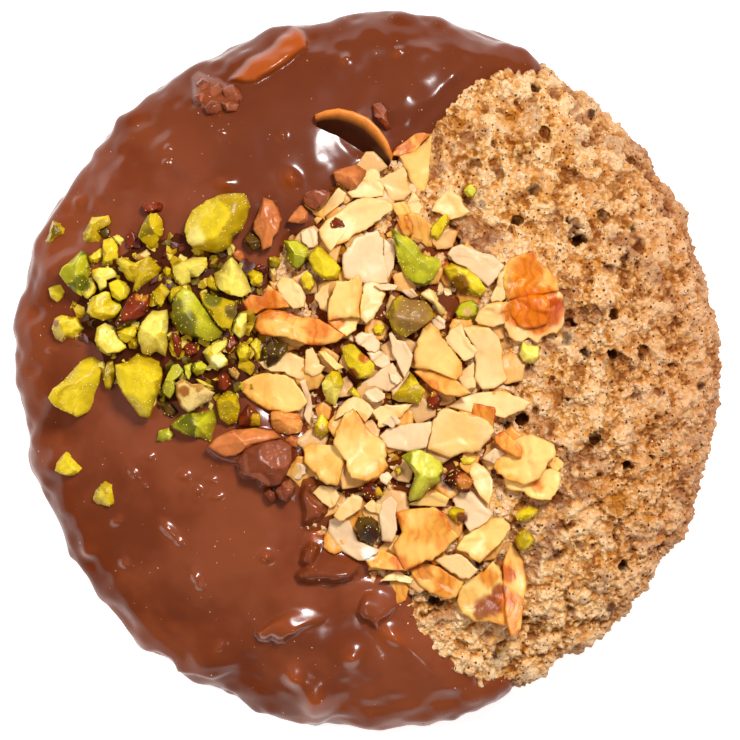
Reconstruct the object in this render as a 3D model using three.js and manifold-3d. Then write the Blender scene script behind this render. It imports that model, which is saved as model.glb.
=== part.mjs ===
// A round pistachio lebkuchen: a craggy nut-dough biscuit, part dipped in milk chocolate, with a heap of
// chopped pistachios and a heap of flaked almonds across its middle.
// Millimetres, +Z up. The origin is the centre of the flat base. Seen from above, +X points right and +Y up.

import * as THREE from "three";
import { mergeVertices } from "three/addons/utils/BufferGeometryUtils.js";
import Module from "manifold-3d";

const wasm = await Module();
wasm.setup();

// Driving dimensions of the biscuit
const DIAMETER = 98.8;
const DOUGH_RADIUS = 48.3;
const DOUGH_SHIFT = 0.85; // the bare side reaches further out, as the other side leaves room for chocolate
const DOUGH_HEIGHT = 16.4;
const RIM_HEIGHT = 3.4; // height of the side's widest line
const BASE_TUCK = 1.8; // how far the side draws in below that line
const DOME_POWER = 3.1; // a higher power has a flatter top and a squarer shoulder
const OVAL = 0.15; // extra radius at the top and bottom of the plan
const BULGE = { angle: 160, width: 14, height: 0.9 }; // one swelling of the outline, degrees and mm
const CRAGS = [
  { span: 11, bare: 0.5, covered: 0.5 },
  { span: 4.6, bare: 0.8, covered: 0.2 },
]; // spacing and height of the swells, on bare crumb and under chocolate or nuts
const CRUMB_LUMPS = { spread: 80, reach: 44, shortest: 3.6, longest: 6.6, height: 2.7 }; // in the bare crumb
const LUMP_CLEARANCE = 7.5; // from the middle of a lump to the middle of a larger topping
const CRAG_FADE = 3; // distance over which the crags rise from the edge of the chocolate
const DOUGH_RINGS = 17;
const CORE_RINGS = 8;

// Driving dimensions of the coat and the toppings
const COAT = 1.15; // thickness of the chocolate
const COAT_FOOT = 0.6; // the chocolate stops this far above the table
const GAP = 0.3; // clearance between one piece and the piece that it lies on
const SINK = 0.9; // how deep a topping sits in what carries it
const LAYER = 0.7; // rise from one layer of flakes to the next
const FLAKE_THICKNESS = 1.2;
const FLAKE_SIDES = 6;
const LONG_FLAKE = 8; // flakes from this length on have curled ends
const FLAKE_CURL = 0.06; // rise of a curled end, as a share of the flake's length
const FLAKE_RAGGED = 0.3; // how far an outline corner may fall short of the full oval
const CORE_SHARE = 0.92; // how much of a heap's mound lies inside the blunt edge of its core
const LARGE_NUT = 7; // chunks from this length on get finer facets
const NUT_CUTS = 5; // knife cuts that shape a chunk

// The photograph looks straight down. Places below are given in its pixels.
const PHOTO_CENTRE = 369.5;
const PHOTO_DIAMETER = 706;
const MM_PER_PIXEL = DIAMETER / PHOTO_DIAMETER;

// The two heaps are low mounds, oval in plan: centre in the photograph, radii, turn in degrees, crown height.
const PISTACHIO_MOUND = { photo: [178, 320], radii: [16.0, 13.0], turn: -14, height: 2.0 };
const ALMOND_MOUND = { photo: [394, 383], radii: [16.0, 31.0], turn: 10, height: 2.6 };

// The free edge of the chocolate, from the rim at the top to the rim at the bottom, in photograph pixels.
const COAT_EDGE = [
  [585, -30], [538, 62], [500, 62], [466, 86], [436, 112], [418, 134], [385, 158], [343, 186], [304, 215],
  [268, 262], [250, 330], [260, 402], [288, 455], [298, 500], [302, 548], [328, 572], [368, 580], [398, 598],
  [414, 628], [444, 662], [476, 688], [505, 693], [540, 790],
];

// Broad lumps in the chocolate: photograph x and y, radius, height.
const COAT_LUMPS = [
  [407, 107, 2.8, 1.0], [172, 165, 3.0, 0.5], [125, 195, 3.0, 0.6], [60, 262, 3.2, 0.7], [30, 330, 3.0, 0.8],
  [24, 400, 3.0, 0.7], [48, 455, 3.0, 0.7], [85, 545, 3.2, 0.8], [108, 590, 3.0, 0.9], [155, 625, 3.4, 0.9],
  [210, 655, 3.4, 0.9], [298, 618, 3.6, 0.9], [312, 680, 3.4, 0.8], [352, 655, 2.8, 0.8],
  [415, 655, 3.2, 0.7], [200, 575, 2.6, 0.6], [174, 530, 2.6, 0.7], [266, 556, 2.6, 0.6],
  [478, 62, 2.8, 0.8], [372, 32, 3.2, 0.6],
];

// Each chunk: photograph x and y, length, width, height, turn in degrees.
const WHOLE_KERNEL = [218, 223, 9.8, 7.0, 5.4, 30];

const PISTACHIO_CHUNKS = [
  [152, 231, 5.0, 3.4, 3.0, 70], [77, 271, 6.4, 4.6, 3.8, 80], [95, 256, 2.4, 1.9, 1.9, 30],
  [111, 254, 3.9, 2.3, 2.2, 75], [142, 272, 6.0, 4.3, 3.2, -10],
  [105, 276, 3.1, 2.8, 2.4, 20], [89, 289, 2.7, 2.4, 2.2, 60], [120, 290, 3.1, 2.8, 2.6, 0],
  [104, 306, 4.6, 3.7, 3.0, 15], [135, 310, 5.6, 2.9, 2.8, 42], [108, 337, 4.5, 3.9, 3.0, -30],
  [127, 334, 2.7, 2.3, 2.2, 20], [154, 332, 6.4, 4.3, 3.4, 78], [160, 296, 3.0, 2.6, 2.4, 40],
  [189, 272, 5.0, 3.6, 2.4, 15], [231, 277, 5.2, 4.7, 3.6, 60], [256, 277, 2.6, 2.3, 2.2, 0],
  [195, 318, 7.8, 4.8, 4.2, -52], [220, 311, 5.2, 4.4, 3.4, -40], [240, 326, 3.2, 2.1, 2.0, 70],
  [109, 375, 4.0, 1.8, 1.8, 80], [140, 385, 8.2, 6.2, 5.0, -72], [174, 381, 4.7, 2.4, 2.4, 65],
  [195, 395, 5.6, 4.6, 3.6, -10], [227, 407, 4.8, 3.4, 3.0, 100], [249, 414, 3.6, 3.3, 2.8, -20],
  [216, 352, 4.0, 2.9, 2.4, -30], [238, 347, 2.9, 2.3, 2.2, 60],
  [255, 348, 2.9, 1.7, 1.6, 75], [177, 344, 2.8, 1.8, 1.7, -60], [200, 366, 2.9, 2.2, 2.0, -40],
];

const PISTACHIO_AMONG_ALMONDS = [
  [296, 253, 3.9, 3.6, 2.8, -30], [325, 264, 5.0, 2.9, 2.6, -40], [304, 282, 3.2, 2.6, 2.4, 80],
  [416, 262, 8.6, 4.4, 3.6, -55], [409, 316, 6.8, 5.8, 4.0, 20], [463, 281, 5.6, 3.9, 3.0, -30],
  [466, 311, 3.4, 3.0, 2.6, 30], [422, 474, 7.4, 5.6, 4.2, 65], [408, 388, 4.6, 4.2, 3.2, 40],
  [434, 400, 2.6, 2.3, 2.2, 50], [458, 479, 4.2, 3.4, 2.6, 10], [455, 513, 2.9, 2.7, 2.2, 0],
  [367, 528, 4.1, 3.7, 3.2, -40], [370, 490, 3.1, 2.6, 2.2, 30], [321, 426, 3.7, 2.3, 2.2, 88],
  [356, 361, 4.9, 3.4, 2.8, -45], [333, 384, 4.4, 3.5, 2.8, 80], [273, 352, 4.2, 3.6, 3.2, -60],
  [438, 227, 3.9, 2.8, 2.2, 60], [430, 300, 2.8, 2.2, 1.9, -40],
];

const PISTACHIO_ON_CRUMB = [
  [469, 191, 2.3, 2.0, 1.9, 40], [529, 353, 3.2, 2.8, 2.4, 60], [530, 514, 3.0, 2.6, 2.2, 20],
  [530, 538, 2.9, 2.7, 2.2, 60],
];

const PISTACHIO_ON_CHOCOLATE = [
  [54, 234, 4.4, 2.4, 2.4, 58], [57, 291, 2.5, 2.3, 2.2, 0], [67, 328, 4.6, 3.8, 3.0, -10],
  [69, 462, 3.9, 3.6, 2.8, 30], [106, 493, 3.5, 3.4, 2.6, 60], [75, 387, 7.2, 5.4, 4.2, 25],
  [195, 424, 6.8, 4.0, 3.4, 15], [164, 435, 2.7, 1.9, 1.9, 30], [155, 208, 3.4, 2.0, 2.1, 10],
  [252, 240, 2.8, 2.4, 2.4, 80], [94, 230, 4.2, 2.9, 2.6, 60],
];

const ALMOND_ON_CHOCOLATE = [[267, 222, 6.9, 4.0, 3.4, 82]];

// Nuts under the chocolate: the sliver at the top, the knobbly lump beside it, and those along the free edge.
const COATED_CHUNKS = [
  [270, 64, 12.0, 3.4, 3.2, 32], [218, 97, 6.0, 4.6, 3.6, 10], [383, 114, 3.8, 2.6, 3.4, -60],
  [350, 178, 5.0, 3.2, 3.2, 10], [318, 199, 4.2, 3.2, 3.0, 30], [303, 214, 3.6, 2.6, 2.6, 20],
  [233, 257, 3.0, 2.3, 2.4, 20], [250, 450, 12.0, 6.6, 3.0, -14], [308, 497, 3.2, 2.4, 2.6, -60],
  [306, 525, 3.8, 3.0, 3.0, 80], [308, 556, 4.4, 3.0, 2.8, 70], [335, 577, 10.4, 4.0, 3.0, 8],
];

// Each flake: photograph x and y, length, width, turn in degrees, layer.
const STANDING_FLAKE = [353, 133, 12.4, 4.6, -32, 0];
const STANDING_FLAKE_SHAPE = { rise: 0.6, tilt: 52, curl: -2.2 };

const UPPER_ROSETTE = [520, 295, 12.2, 10.4, 90, 0];
const LOWER_ROSETTE = [527, 467, 10.2, 9.4, 0, 0];

const ALMOND_FLAKES = [
  [414, 163, 8.4, 5.0, 80, 0], [396, 186, 4.6, 4.2, 20, 0], [369, 187, 5.6, 4.4, 30, 0],
  [334, 206, 6.0, 2.6, 45, 0], [354, 218, 11.2, 6.0, 22, 1], [364, 258, 7.8, 6.4, 60, 1],
  [388, 258, 5.8, 2.2, -75, 0], [449, 203, 5.2, 4.4, 30, 0], [301, 326, 12.8, 4.6, -12, 2],
  [264, 299, 5.6, 2.9, -20, 1], [290, 293, 5.0, 4.2, -60, 1], [343, 298, 6.0, 5.0, 80, 2],
  [371, 304, 6.6, 4.2, 70, 1], [345, 322, 6.0, 3.4, 15, 1], [401, 350, 6.8, 3.0, -60, 1],
  [381, 378, 6.0, 3.4, 20, 0], [275, 390, 10.2, 6.2, -15, 1], [280, 362, 7.6, 3.4, 10, 0],
  [474, 263, 8.2, 3.0, -30, 0], [437, 346, 8.6, 6.2, -60, 2], [434, 376, 8.6, 3.2, -25, 1],
  [458, 341, 5.2, 4.0, -50, 1], [487, 358, 8.6, 6.2, -85, 0], [486, 402, 11.8, 4.0, 12, 0],
  [459, 434, 9.4, 6.0, 15, 1], [405, 436, 7.8, 3.8, 10, 0], [392, 411, 6.6, 2.8, 10, 0],
  [352, 440, 10.2, 7.4, -62, 1], [324, 454, 7.2, 5.2, -15, 1], [328, 490, 5.4, 4.0, 60, 0],
  [343, 530, 7.6, 5.2, -50, 0], [345, 508, 5.0, 3.8, 30, 1], [390, 512, 6.4, 3.6, 75, 0],
  [423, 533, 7.8, 7.0, -20, 1], [477, 509, 6.0, 5.4, -40, 0], [482, 484, 5.8, 3.4, -70, 1],
  [482, 539, 7.8, 5.2, 35, 1], [456, 564, 6.2, 2.8, -25, 1], [435, 577, 8.4, 3.4, -20, 0],
  [480, 591, 9.0, 7.2, 70, 0], [514, 586, 13.6, 3.6, 92, 1], [382, 549, 6.4, 3.0, -25, 1],
  [437, 500, 5.6, 3.2, 10, 0],
];

// Colours and finishes
const FINISHES = {
  crumb: { color: 0xc49a6c, roughness: 0.9, metalness: 0 },
  chocolate: { color: 0x7a4632, roughness: 0.35, metalness: 0 },
  pistachio: { color: 0xb3a83c, roughness: 0.55, metalness: 0 },
  almond: { color: 0xe8c48a, roughness: 0.6, metalness: 0 },
};

// Numbers that repeat

/** A repeatable number from 0 to 1 for up to four keys. */
function chance(a, b = 0, c = 0, d = 0) {
  const wave = Math.sin(a * 12.9898 + b * 78.233 + c * 37.719 + d * 4.581) * 43758.5453;
  return wave - Math.floor(wave);
}

const CORNERS = [0, 1].flatMap((i) => [0, 1].flatMap((j) => [0, 1].map((k) => [i, j, k])));

/** Smooth lumps from -1 to 1, about one unit apart. */
function lumps(x, y, z) {
  const [i, j, k] = [Math.floor(x), Math.floor(y), Math.floor(z)];
  const ease = (t) => t * t * (3 - 2 * t);
  const [u, v, w] = [ease(x - i), ease(y - j), ease(z - k)];
  let sum = 0;
  for (const [di, dj, dk] of CORNERS) {
    const weight = (di ? u : 1 - u) * (dj ? v : 1 - v) * (dk ? w : 1 - w);
    sum += weight * chance(i + di, j + dj, k + dk);
  }
  return 2 * sum - 1;
}

// Places

/** Millimetres from the centre for a pixel of the photograph. */
function fromPhoto([px, py]) {
  return new THREE.Vector2((px - PHOTO_CENTRE) * MM_PER_PIXEL, (PHOTO_CENTRE - py) * MM_PER_PIXEL);
}

/** The photograph's pixel for a place in millimetres. */
function toPhoto(x, y) {
  return [PHOTO_CENTRE + x / MM_PER_PIXEL, PHOTO_CENTRE - y / MM_PER_PIXEL];
}

/** Crown height of an oval mound over a point, or a negative number outside it. */
function crown(mound, x, y) {
  const away = new THREE.Vector2(x, y).sub(fromPhoto(mound.photo));
  away.rotateAround(new THREE.Vector2(), THREE.MathUtils.degToRad(-mound.turn));
  return mound.height * (1 - (away.x / mound.radii[0]) ** 2 - (away.y / mound.radii[1]) ** 2);
}

const COAT_SPLINE = new THREE.SplineCurve(COAT_EDGE.map(fromPhoto)).getPoints(66);

/** Whether the chocolate covers a point of the plan. */
function isCoated(x, y) {
  const { crossings } = COAT_SPLINE.slice(1).reduce(
    ({ crossings, last }, next) => {
      const spans = last.y > y !== next.y > y;
      const edgeX = last.x + ((y - last.y) / (next.y - last.y)) * (next.x - last.x);
      return { crossings: crossings + (spans && edgeX > x ? 1 : 0), last: next };
    },
    { crossings: 0, last: COAT_SPLINE[0] },
  );
  return crossings % 2 === 1;
}

// Solids and booleans

/** A closed three.js geometry as a solid. */
function toSolid(geometry) {
  const bare = geometry.clone();
  bare.deleteAttribute("normal");
  bare.deleteAttribute("uv");
  const merged = mergeVertices(bare, 1e-4);
  return new wasm.Manifold(
    new wasm.Mesh({
      numProp: 3,
      vertProperties: merged.getAttribute("position").array,
      triVerts: new Uint32Array(merged.index.array),
    }),
  );
}

/** The largest body of a solid, so that scraps that a cut sets free are dropped. */
function largestBody(solid) {
  return solid.decompose().reduce((best, body) => (body.volume() > best.volume() ? body : best));
}

/** All of a list of solids as one. */
function joinAll(solids) {
  return solids.reduce((whole, solid) => whole.add(solid));
}

/** A named mesh of a solid. */
function meshOf(name, solid, finish) {
  const { vertProperties, triVerts } = largestBody(solid).getMesh();
  const geometry = new THREE.BufferGeometry();
  geometry.setAttribute("position", new THREE.BufferAttribute(new Float32Array(vertProperties), 3));
  geometry.setIndex(new THREE.BufferAttribute(new Uint32Array(triVerts), 1));
  geometry.computeVertexNormals();
  const mesh = new THREE.Mesh(geometry, new THREE.MeshStandardMaterial(FINISHES[finish]));
  mesh.name = name;
  return mesh;
}

// The dough

/** Radius of the dough's outline at an angle in radians. */
function outlineRadius(angle) {
  const degrees = THREE.MathUtils.radToDeg(angle) - BULGE.angle;
  const fromBulge = THREE.MathUtils.euclideanModulo(degrees + 180, 360) - 180;
  const bulge = BULGE.height * Math.exp(-((fromBulge / BULGE.width) ** 2));
  return DOUGH_RADIUS - OVAL * Math.cos(2 * angle) + bulge;
}

/** The dough's section from the top centre to the base: places and outward normals at even steps. */
function doughSection(steps) {
  const side = new THREE.Path();
  const quarter = Array.from({ length: 61 }, (_, i) => (i / 60) * (Math.PI / 2));
  const dome = quarter.map(
    (t) =>
      new THREE.Vector2(
        DOUGH_RADIUS * Math.sin(t) ** (2 / DOME_POWER),
        RIM_HEIGHT + (DOUGH_HEIGHT - RIM_HEIGHT) * Math.cos(t),
      ),
  );
  side.setFromPoints(dome);
  side.absellipse(DOUGH_RADIUS - BASE_TUCK, RIM_HEIGHT, BASE_TUCK, RIM_HEIGHT, 0, -Math.PI / 2, true);
  return Array.from({ length: steps + 1 }, (_, i) => {
    const u = i / steps;
    const tangent = side.getTangentAt(Math.min(u, 0.999));
    return { point: side.getPointAt(u), normal: new THREE.Vector2(-tangent.y, tangent.x) };
  });
}

/** How bare the crumb is at a point of the plan: 0 under chocolate and nuts, 1 well clear of both. */
function bareness(x, y) {
  if (isCoated(x, y)) {
    return 0;
  }
  const here = new THREE.Vector2(x, y);
  const fromEdge = Math.min(...COAT_SPLINE.map((point) => point.distanceTo(here)));
  const fromMound = -crown(ALMOND_MOUND, x, y) / ALMOND_MOUND.height;
  return THREE.MathUtils.smoothstep(fromEdge, 0, CRAG_FADE) * THREE.MathUtils.smoothstep(fromMound, 0, 0.5);
}

/** Height of the crags at a point of the dough, fading out towards the flat base. */
function cragHeight(x, y, z) {
  const fade = THREE.MathUtils.smoothstep(z, 0, RIM_HEIGHT);
  const bare = bareness(x, y);
  const heights = CRAGS.map((crag) => {
    const height = THREE.MathUtils.lerp(crag.covered, crag.bare, bare);
    return height * lumps(x / crag.span, y / crag.span, z / crag.span);
  });
  return fade * heights.reduce((sum, height) => sum + height);
}

/** Height of the bare dough's top over a point. */
function doughTop(x, y) {
  const reach = Math.hypot(x - DOUGH_SHIFT, y) / outlineRadius(Math.atan2(y, x - DOUGH_SHIFT));
  const dome = Math.sqrt(Math.max(0, 1 - Math.min(1, reach) ** DOME_POWER));
  const z = RIM_HEIGHT + (DOUGH_HEIGHT - RIM_HEIGHT) * dome;
  return z + cragHeight(x, y, z);
}

/** A point of the dough's surface, at one step of the section, moved out by a lift. */
function doughPoint({ point, normal }, angle, lift) {
  const radius = (point.x * outlineRadius(angle)) / DOUGH_RADIUS;
  const across = new THREE.Vector3(Math.cos(angle), Math.sin(angle), 0);
  const place = across.clone().multiplyScalar(radius).add(new THREE.Vector3(DOUGH_SHIFT, 0, point.y));
  const outward = across.multiplyScalar(normal.x).add(new THREE.Vector3(0, 0, normal.y)).normalize();
  const out = cragHeight(place.x, place.y, place.z) + lift(place.x, place.y);
  return place.addScaledVector(outward, out);
}

/** The dough as a solid, with its whole surface moved out by a lift in mm, a function of x and y. */
function doughSolid(lift = () => 0, rings = DOUGH_RINGS) {
  const section = doughSection(rings);
  const points = [doughPoint(section[0], 0, lift)];
  const faces = [];
  const first = (ring) => (ring === 0 ? 0 : 1 + 3 * ring * (ring - 1));
  for (let ring = 1; ring <= rings; ring++) {
    const outerCount = 6 * ring;
    const innerCount = Math.max(1, 6 * (ring - 1));
    for (let i = 0; i < outerCount; i++) {
      points.push(doughPoint(section[ring], (i / outerCount) * 2 * Math.PI, lift));
    }
    for (let sector = 0; sector < 6; sector++) {
      for (let i = 0; i < ring; i++) {
        const inner = first(ring - 1) + ((sector * (ring - 1) + i) % innerCount);
        const outer = first(ring) + sector * ring + i;
        const outerNext = first(ring) + ((sector * ring + i + 1) % outerCount);
        faces.push(inner, outer, outerNext);
        if (i < ring - 1) {
          const innerNext = first(ring - 1) + ((sector * (ring - 1) + i + 1) % innerCount);
          faces.push(inner, outerNext, innerNext);
        }
      }
    }
  }
  const rim = 6 * rings;
  const base = points.length;
  points.push(new THREE.Vector3(DOUGH_SHIFT, 0, points[base - 1].z));
  for (let i = 0; i < rim; i++) {
    faces.push(base, first(rings) + ((i + 1) % rim), first(rings) + i);
  }
  const geometry = new THREE.BufferGeometry().setFromPoints(points);
  geometry.setIndex(faces);
  return toSolid(geometry);
}

// The chocolate coat

/** Extra height of the chocolate's lumps over a point. */
function coatLumps(x, y) {
  return COAT_LUMPS.reduce((sum, [px, py, radius, height]) => {
    const away = fromPhoto([px, py]).distanceTo(new THREE.Vector2(x, y)) / radius;
    return sum + height * Math.exp(-away * away);
  }, 0);
}

/** An upright block over all that lies left of the chocolate's free edge, moved right by a margin. */
function coatBlock(margin) {
  const far = DIAMETER;
  const plan = new THREE.Shape(COAT_SPLINE.map((p) => new THREE.Vector2(p.x + margin, p.y)));
  plan.lineTo(-far, -far);
  plan.lineTo(-far, far);
  const block = new THREE.ExtrudeGeometry(plan, { depth: far, bevelEnabled: false });
  return toSolid(block.translate(0, 0, COAT_FOOT - margin));
}

/** Height of the chocolate above the dough over a point, nothing where the crumb is bare. */
function coatHeight(x, y) {
  return isCoated(x, y) ? GAP + COAT + coatLumps(x, y) : 0;
}

/** Height of what a topping lies on over a point: bare dough or chocolate. */
function ground(x, y) {
  return doughTop(x, y) + coatHeight(x, y);
}

// Chunks and flakes

/** Stretches a geometry to fill a box of these lengths about the origin. */
function fillBox(geometry, lengths) {
  geometry.computeBoundingBox();
  const { min, max } = geometry.boundingBox;
  geometry.translate(...min.clone().add(max).multiplyScalar(-0.5).toArray());
  geometry.scale(...max.clone().sub(min).toArray().map((size, i) => lengths[i] / size));
  return geometry;
}

/** A direction for a knife cut, the same for the same keys. */
function cutDirection(seed, cut) {
  const rise = 2 * chance(seed, cut, 1) - 1;
  const angle = 2 * Math.PI * chance(seed, cut, 2);
  return new THREE.Vector3(Math.cos(angle), Math.sin(angle), 0)
    .multiplyScalar(Math.sqrt(1 - rise * rise))
    .setZ(rise);
}

/** A chopped piece of nut: a rounded kernel with a few flat knife cuts, standing on the ground plus a bed. */
function nutChunk([px, py, length, width, height, turn], bed = 0, grow = 0) {
  const seed = px + py / 1000;
  const cuts = Array.from({ length: NUT_CUTS }, (_, i) => ({
    normal: cutDirection(seed, i),
    depth: 0.4 + 0.4 * chance(seed, i, 3),
  }));
  const chunk = new THREE.IcosahedronGeometry(1, length >= LARGE_NUT ? 1 : 0);
  const corners = chunk.getAttribute("position");
  const corner = new THREE.Vector3();
  for (let i = 0; i < corners.count; i++) {
    corner.fromBufferAttribute(corners, i).normalize();
    const reach = cuts.map(({ normal, depth }) => depth / Math.max(depth, normal.dot(corner)));
    corner.multiplyScalar(Math.min(...reach));
    corners.setXYZ(i, corner.x, corner.y, corner.z);
  }
  fillBox(chunk, [length + 2 * grow, width + 2 * grow, height + 2 * grow]);
  const place = fromPhoto([px, py]);
  chunk.rotateZ(THREE.MathUtils.degToRad(turn));
  chunk.translate(place.x, place.y, ground(place.x, place.y) + bed + height / 2 - SINK);
  return toSolid(chunk);
}

/** A thin flake of almond with a ragged oval outline and curled ends, lying on the ground plus a bed. */
function almondFlake([px, py, length, width, turn, layer], bed = 0, grow = 0, shape = {}) {
  const seed = px + py / 1000;
  const curl = shape.curl ?? (length < LONG_FLAKE ? 0 : FLAKE_CURL * length);
  const tilt = shape.tilt ?? 16 * (chance(seed, 7) - 0.5);
  const outline = Array.from({ length: FLAKE_SIDES }, (_, i) => {
    const angle = (i / FLAKE_SIDES) * 2 * Math.PI;
    const reach = 1 - FLAKE_RAGGED * chance(seed, i, 5);
    return new THREE.Vector2(Math.cos(angle) * reach, Math.sin(angle) * reach);
  });
  const points = [];
  const faces = [];
  for (const side of [1, -1]) {
    const z = side * (FLAKE_THICKNESS / 2 + grow);
    points.push(new THREE.Vector3(0, 0, z), ...outline.map((p) => new THREE.Vector3(p.x, p.y, z)));
  }
  const under = FLAKE_SIDES + 1;
  for (let i = 0; i < FLAKE_SIDES; i++) {
    const [a, b] = [1 + i, 1 + ((i + 1) % FLAKE_SIDES)];
    faces.push(0, a, b, under, under + b, under + a, a, under + a, b, b, under + a, under + b);
  }
  const flake = new THREE.BufferGeometry().setFromPoints(points);
  flake.setIndex(faces);
  const thickness = FLAKE_THICKNESS + 2 * grow;
  fillBox(flake, [length + 2 * grow, width + 2 * grow, thickness]);
  const corners = flake.getAttribute("position");
  for (let i = 0; i < corners.count; i++) {
    corners.setZ(i, corners.getZ(i) + curl * (corners.getX(i) / (length / 2)) ** 2);
  }
  const place = fromPhoto([px, py]);
  const rise = bed + layer * LAYER + FLAKE_THICKNESS / 2 - SINK / 2;
  flake.rotateX(THREE.MathUtils.degToRad(tilt));
  flake.rotateZ(THREE.MathUtils.degToRad(turn));
  flake.translate(place.x, place.y, ground(place.x, place.y) + rise);
  return toSolid(flake);
}

/** Height of a heap's bed under a piece. */
function bedAt(mound, [px, py]) {
  const place = fromPhoto([px, py]);
  return Math.max(0, crown(mound, place.x, place.y)) + GAP;
}

/** Every nut of a heap on its mound, each made larger all round by a margin. */
function heapPieces(mound, chunks, flakes, grow) {
  return [
    ...chunks.map((chunk) => nutChunk(chunk, bedAt(mound, chunk), grow)),
    ...flakes.map((flake) => almondFlake(flake, bedAt(mound, flake), grow)),
  ];
}

/** The mound inside a heap, made larger all round by a margin. */
function heapCore(mound, grow) {
  const plan = new THREE.Shape();
  const centre = fromPhoto(mound.photo);
  const radii = mound.radii.map((radius) => CORE_SHARE * radius + grow);
  plan.absellipse(centre.x, centre.y, ...radii, 0, 2 * Math.PI, false, THREE.MathUtils.degToRad(mound.turn));
  const wall = new THREE.ExtrudeGeometry(plan, { depth: DIAMETER, bevelEnabled: false, curveSegments: 24 });
  const lift = (x, y) => coatHeight(x, y) + GAP + Math.max(0, crown(mound, x, y)) + grow;
  return doughSolid(lift, CORE_RINGS).intersect(toSolid(wall));
}

// Assembly

/** The chocolate with the nuts that it covers or carries, clear of the dough, and a larger copy to cut by. */
function chocolateSolids(biscuitClearance) {
  const slab = (margin) =>
    doughSolid((x, y) => GAP + COAT + coatLumps(x, y) + margin).intersect(coatBlock(margin));
  const nuts = (margin) =>
    joinAll([
      ...[...COATED_CHUNKS, ...PISTACHIO_ON_CHOCOLATE, ...ALMOND_ON_CHOCOLATE].map((chunk) =>
        nutChunk(chunk, 0, margin),
      ),
      almondFlake(STANDING_FLAKE, STANDING_FLAKE_SHAPE.rise, margin, STANDING_FLAKE_SHAPE),
    ]);
  return {
    coat: slab(0).add(nuts(0)).subtract(biscuitClearance),
    coatClearance: slab(GAP).add(nuts(GAP)),
  };
}

/** Craggy lumps spread evenly along a spiral over the bare crumb, clear of the larger toppings. */
function crumbLumps() {
  const toppings = [UPPER_ROSETTE, LOWER_ROSETTE, ...ALMOND_FLAKES, ...PISTACHIO_ON_CRUMB].map(fromPhoto);
  const golden = Math.PI * (3 - Math.sqrt(5));
  const { spread, reach, shortest, longest, height } = CRUMB_LUMPS;
  return Array.from({ length: spread }, (_, i) => {
    const place = new THREE.Vector2(reach * Math.sqrt((i + 0.5) / spread), 0);
    place.rotateAround(new THREE.Vector2(), i * golden);
    const length = THREE.MathUtils.lerp(shortest, longest, chance(i, 11));
    const isClear = toppings.every((topping) => topping.distanceTo(place) > LUMP_CLEARANCE);
    const lump = [...toPhoto(place.x, place.y), length, 0.8 * length, height, 360 * chance(i, 12)];
    return isClear && bareness(place.x, place.y) > 0.9 ? lump : null;
  }).filter(Boolean);
}

const onBiscuit = [...PISTACHIO_ON_CRUMB, ...crumbLumps()];
const strays = (grow) => onBiscuit.map((chunk) => nutChunk(chunk, 0, grow));
const biscuit = joinAll([doughSolid(), ...strays(0)]);
const biscuitClearance = joinAll([doughSolid(() => GAP), ...strays(GAP)]);
const { coat, coatClearance } = chocolateSolids(biscuitClearance);

const kernelClearance = nutChunk(WHOLE_KERNEL, GAP, GAP);
const rosettes = { upper_almond_rosette: UPPER_ROSETTE, lower_almond_rosette: LOWER_ROSETTE };
const rosetteClearance = joinAll(Object.values(rosettes).map((flake) => almondFlake(flake, GAP, GAP)));

/** A topping cut clear of the biscuit and the chocolate below it. */
function laidOn(solid) {
  return solid.subtract(biscuitClearance).subtract(coatClearance);
}

const pistachioPieces = (grow) => [
  heapCore(PISTACHIO_MOUND, grow),
  ...heapPieces(PISTACHIO_MOUND, PISTACHIO_CHUNKS, [], grow),
];
const almondPieces = [
  heapCore(ALMOND_MOUND, 0),
  ...heapPieces(ALMOND_MOUND, PISTACHIO_AMONG_ALMONDS, ALMOND_FLAKES, 0),
];
const pistachioHeap = laidOn(joinAll(pistachioPieces(0))).subtract(kernelClearance);
const almondHeap = laidOn(joinAll(almondPieces))
  .subtract(joinAll(pistachioPieces(GAP)))
  .subtract(rosetteClearance);

const lebkuchen = new THREE.Group();
lebkuchen.add(
  meshOf("biscuit", biscuit, "crumb"),
  meshOf("chocolate", coat, "chocolate"),
  meshOf("pistachio_heap", pistachioHeap, "pistachio"),
  meshOf("almond_heap", almondHeap, "almond"),
  meshOf("pistachio_kernel", laidOn(nutChunk(WHOLE_KERNEL, GAP)), "pistachio"),
  ...Object.entries(rosettes).map(([name, flake]) => meshOf(name, laidOn(almondFlake(flake, GAP)), "almond")),
);

export default lebkuchen;
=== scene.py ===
"""The looks of a pistachio lebkuchen: baked crumb, milk chocolate, chopped pistachios and flaked almonds.

Lengths in this script are millimetres, and become metres where a mesh is made. In its functions x and y are
points of the plan, and z their heights.
"""

import logging
import math
from dataclasses import dataclass
from enum import Enum
from functools import cache, cached_property
from typing import Callable, Iterable, Mapping, NamedTuple

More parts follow.
